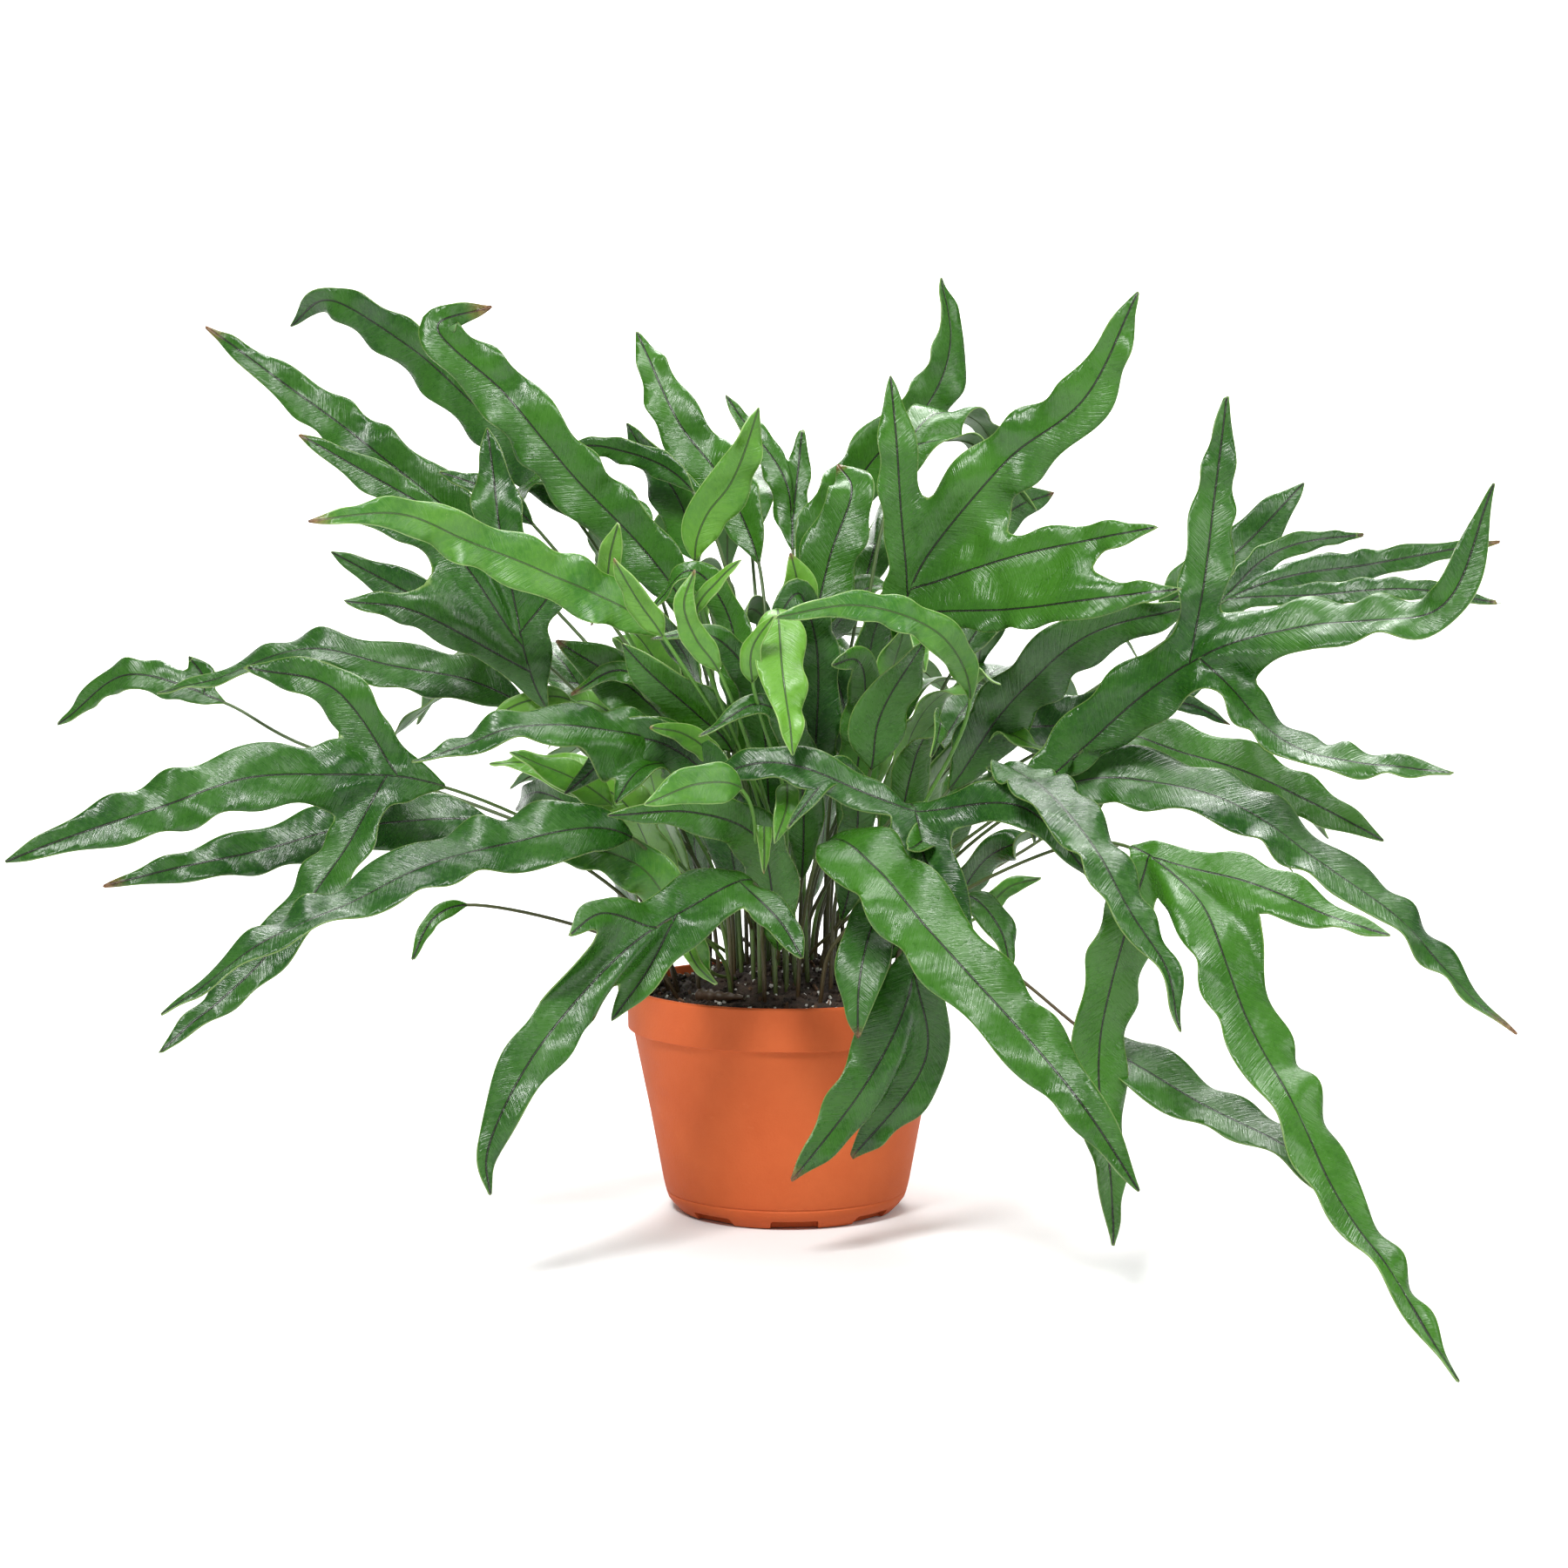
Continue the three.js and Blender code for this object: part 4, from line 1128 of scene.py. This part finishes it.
def mound_height(x, y):
    r = math.hypot(x, y)
    rise = MOUND * max(0.0, 1 - (r / MOUND_REACH) ** 2) ** 1.5 + HEAP
    broad = noise.noise(Vector((x, y, 3.0)) / 19)
    lumps = noise.noise(Vector((x, y, 9.0)) / 4.5)
    fine = noise.noise(Vector((x, y, 1.0)) / 1.9)
    calm = min(1.0, max(0.0, (SOIL_RADIUS - r) / EDGE_CALM))
    rough = 2.2 * broad + 1.5 * lumps + 0.6 * fine
    return soil_height(r) + rise * (0.35 + 0.65 * calm) + calm * rough


rings = [(r, soil_height(r)) for r in np.linspace(TOP_RADIUS, 0, TOP_RINGS)]
mound = spun("soil_mound", [(0, 5.4), (48, 5.4), (54.6, 9.3), (69.6, 85.8), (71.2, TOP_START), *rings],
             SOIL_STEPS)
points = points_of(mound.data) / MM
for point in points:
    if point[2] > TOP_START + 0.1:
        point[2] = mound_height(point[0], point[1])
move_points(mound.data, points * MM)
mound.data.materials.append(peat)
smooth(mound)
keep(mound, "soil", "soil")
print(f"soil crown: {points[:, 2].max():.1f} mm, faces: {len(mound.data.polygons)}")

# %% [markdown]
# Crumbs of peat, chips of bark and white perlite lie on top. One rough grain is modelled for
# each kind, from a small icosphere, and scattered with its own size, turn and squash.

# %% Scatter crumbs
SCATTER_RADIUS = 69


def scatter(name, finish, count, small, large, flatten):
    bpy.ops.mesh.primitive_ico_sphere_add(subdivisions=1, radius=1)
    grain = bpy.context.object
    shape = points_of(grain.data)
    shape *= dice.uniform(0.75, 1.2, len(shape))[:, None]
    move_points(grain.data, shape)
    grain.data.materials.append(finish)
    copies = []
    for _ in range(count):
        copy = grain.copy()
        copy.data = grain.data.copy()
        bpy.context.collection.objects.link(copy)
        r, aim = SCATTER_RADIUS * math.sqrt(dice.uniform()), dice.uniform(0, 2 * math.pi)
        size = dice.uniform(small, large)
        x, y = r * math.cos(aim), r * math.sin(aim)
        copy.location = Vector((x, y, mound_height(x, y) + 0.25 * size)) * MM
        copy.rotation_euler = dice.uniform(0, math.pi, 3)
        copy.scale = Vector((size, size * dice.uniform(0.6, 1), size * flatten)) * MM
        copies.append(copy)
    bpy.data.objects.remove(grain)
    pick(*copies)
    bpy.ops.object.join()
    bpy.ops.object.transform_apply(location=True, rotation=True, scale=True)
    piece = bpy.context.object
    piece.name = piece.data.name = name
    return keep(piece, "soil")


for name, finish, count, small, large, flatten in (
        ("peat_crumbs", peat, 900, 0.7, 2.3, 0.8), ("bark_chips", bark, 120, 1.0, 2.6, 0.4),
        ("perlite_grains", perlite, 300, 0.5, 1.5, 0.9)):
    piece = scatter(name, finish, count, small, large, flatten)
    print(name, len(piece.data.polygons), "faces")

# %% [markdown]
# ## The rhizomes
# The fern creeps by rhizomes: stems that lie on the soil, clothed in brown papery scales. Each
# is a cord through the middle of the frame's plain stem, blunt at the old end and tapering to
# the growing tip. Noise swells it unevenly, as the scales do.

# %% Knobbly rhizomes
RHIZOME_RADIUS, RHIZOME_TAPER = 2.9, 0.72
SCALE_SIZE, SCALE_RELIEF = 1.6, 0.22


def rhizome(letter):
    points = points_of(nodes["rhizome_" + letter].data) / MM
    radius = np.hypot(points[:, 0], points[:, 1]).mean()
    middle = math.atan2(points[:, 1].mean(), points[:, 0].mean())
    swing = (np.arctan2(points[:, 1], points[:, 0]) - middle + math.pi) % (2 * math.pi) - math.pi
    share = np.linspace(0, 1, 34)
    turn = middle + swing.min() + (swing.max() - swing.min()) * share
    height = points[:, 2].mean() + 1.5 * (share - 0.5)
    line = np.column_stack([radius * np.cos(turn), radius * np.sin(turn), height])
    round_off = np.sqrt(np.clip(1 - (1 - np.clip(share / 0.10, 0, 1)) ** 2, 0.02, 1))
    swell = 1 + 0.16 * np.sin(share * 31 + ord(letter)) + dice.uniform(-0.05, 0.05, len(share))
    radii = RHIZOME_RADIUS * round_off * (1 - RHIZOME_TAPER * share ** 3) * swell
    piece = tube(f"rhizome_scaly_{letter}", line, radii, 5)
    shape = points_of(piece.data)
    core = line * MM
    nearest = ((shape[:, None] - core[None]) ** 2).sum(axis=2).argmin(axis=1)
    away = shape - core[nearest]
    bump = np.array([noise.noise(Vector(p) / (SCALE_SIZE * MM)) for p in shape])
    move_points(piece.data, shape + away * SCALE_RELIEF * bump[:, None])
    piece.data.materials.clear()
    piece.data.materials.append(rootstock)
    smooth(piece)
    return keep(piece, "rhizome", "rhizome_" + letter)


for letter in "abc":
    print("rhizome", letter, len(rhizome(letter).data.polygons), "faces")

# %% [markdown]
# ## Floor, light and camera
# The plant stands on a pale sweep: a floor that curves up into a wall, so that no horizon
# shows. The wall stands well back, so that the plant can be seen from behind too. It starts
# as a plane, whose far edge is pulled up, and the fold is then bevelled round.

# %% The pale sweep
SWEEP_WIDTH, SWEEP_DEPTH, FLOOR_GAP = 14, 9.5, 0.0005
WALL_PLACE, WALL_HEIGHT, BEND = 4.0, 5, 1.2


def sweep_finish():
    material, tree, shader = new_material("studio_paper")
    tree.links.new(blend_colours(tree, speckle(tree, 3.0), (0.80, 0.80, 0.80), (0.84, 0.84, 0.84)),
                   shader.inputs["Base Color"])
    shader.inputs["Roughness"].default_value = 0.9
    return material


bpy.ops.mesh.primitive_plane_add(size=1, location=(0, 0, 0))
sweep = bpy.context.object
sweep.name = sweep.data.name = "studio_sweep"
sweep.scale = (SWEEP_WIDTH, SWEEP_DEPTH, 1)
sweep.location = (0, WALL_PLACE - SWEEP_DEPTH / 2, -FLOOR_GAP)
bpy.ops.object.transform_apply(location=True, rotation=True, scale=True)
edit("DESELECT")
bpy.ops.mesh.select_mode(type="EDGE")
leave_edit()
for edge in sweep.data.edges:
    edge.select = all(sweep.data.vertices[v].co.y > WALL_PLACE - 0.1 for v in edge.vertices)
edit()
bpy.ops.mesh.extrude_region_move(TRANSFORM_OT_translate={"value": (0, 0, WALL_HEIGHT)})
leave_edit()
apply_modifier(sweep, "BEVEL", width=BEND, segments=16, limit_method="ANGLE")
sweep.data.materials.append(sweep_finish())
bpy.ops.object.shade_smooth()
print("sweep faces:", len(sweep.data.polygons))

# %% [markdown]
# Three large soft lights and an even sky give broad, gentle highlights on the glossy leaves,
# and a fourth light whitens the wall.

# %% Soft lights
CENTRE, WALL_SPOT = Vector((0, 0, 0.2)), Vector((0, 3.7, 0.7))
SKY_STRENGTH = 0.34


def soft_light(name, place, size, power, target=CENTRE):
    bpy.ops.object.light_add(type="AREA", location=place)
    lamp = bpy.context.object
    lamp.name = name
    lamp.data.shape = "DISK"
    lamp.data.size = size
    lamp.data.energy = power
    lamp.rotation_euler = (target - lamp.location).to_track_quat("-Z", "Y").to_euler()


soft_light("key_left", (-0.6, -1.8, 2.2), size=0.75, power=88)
soft_light("fill_right", (1.9, -1.2, 1.5), size=1.2, power=26)
soft_light("top_back", (0.2, 0.8, 2.1), size=1.4, power=40)
soft_light("backdrop_wash", (0, 2.3, 2.9), size=1.6, power=190, target=WALL_SPOT)
world = bpy.data.worlds.new("studio_sky")
world.use_nodes = True
sky = world.node_tree.nodes["Background"]
sky.inputs["Color"].default_value = (1, 1, 1, 1)
sky.inputs["Strength"].default_value = SKY_STRENGTH
bpy.context.scene.world = world

# %% [markdown]
# The camera stands as high as the upper fronds and well back, and looks a little down. Its
# long lens keeps near and far leaves at their own sizes.

# %% The camera
CAMERA_PLACE, CAMERA_TILT = (-0.0012, -1.760, 0.388), math.radians(83.9)
LENS, SENSOR = 87.1, 36
bpy.ops.object.camera_add(location=CAMERA_PLACE, rotation=(CAMERA_TILT, 0, 0))
camera = bpy.context.object
camera.name = "front_camera"
camera.data.lens = LENS
camera.data.sensor_width = SENSOR
scene = bpy.context.scene
scene.camera = camera
scene.view_settings.view_transform = "Standard"
print("camera lens:", camera.data.lens, "mm")

# %% [markdown]
# ## A last update
# The scene is updated once more, so that every piece stands in its place.

# %% Update the scene
bpy.context.view_layer.update()
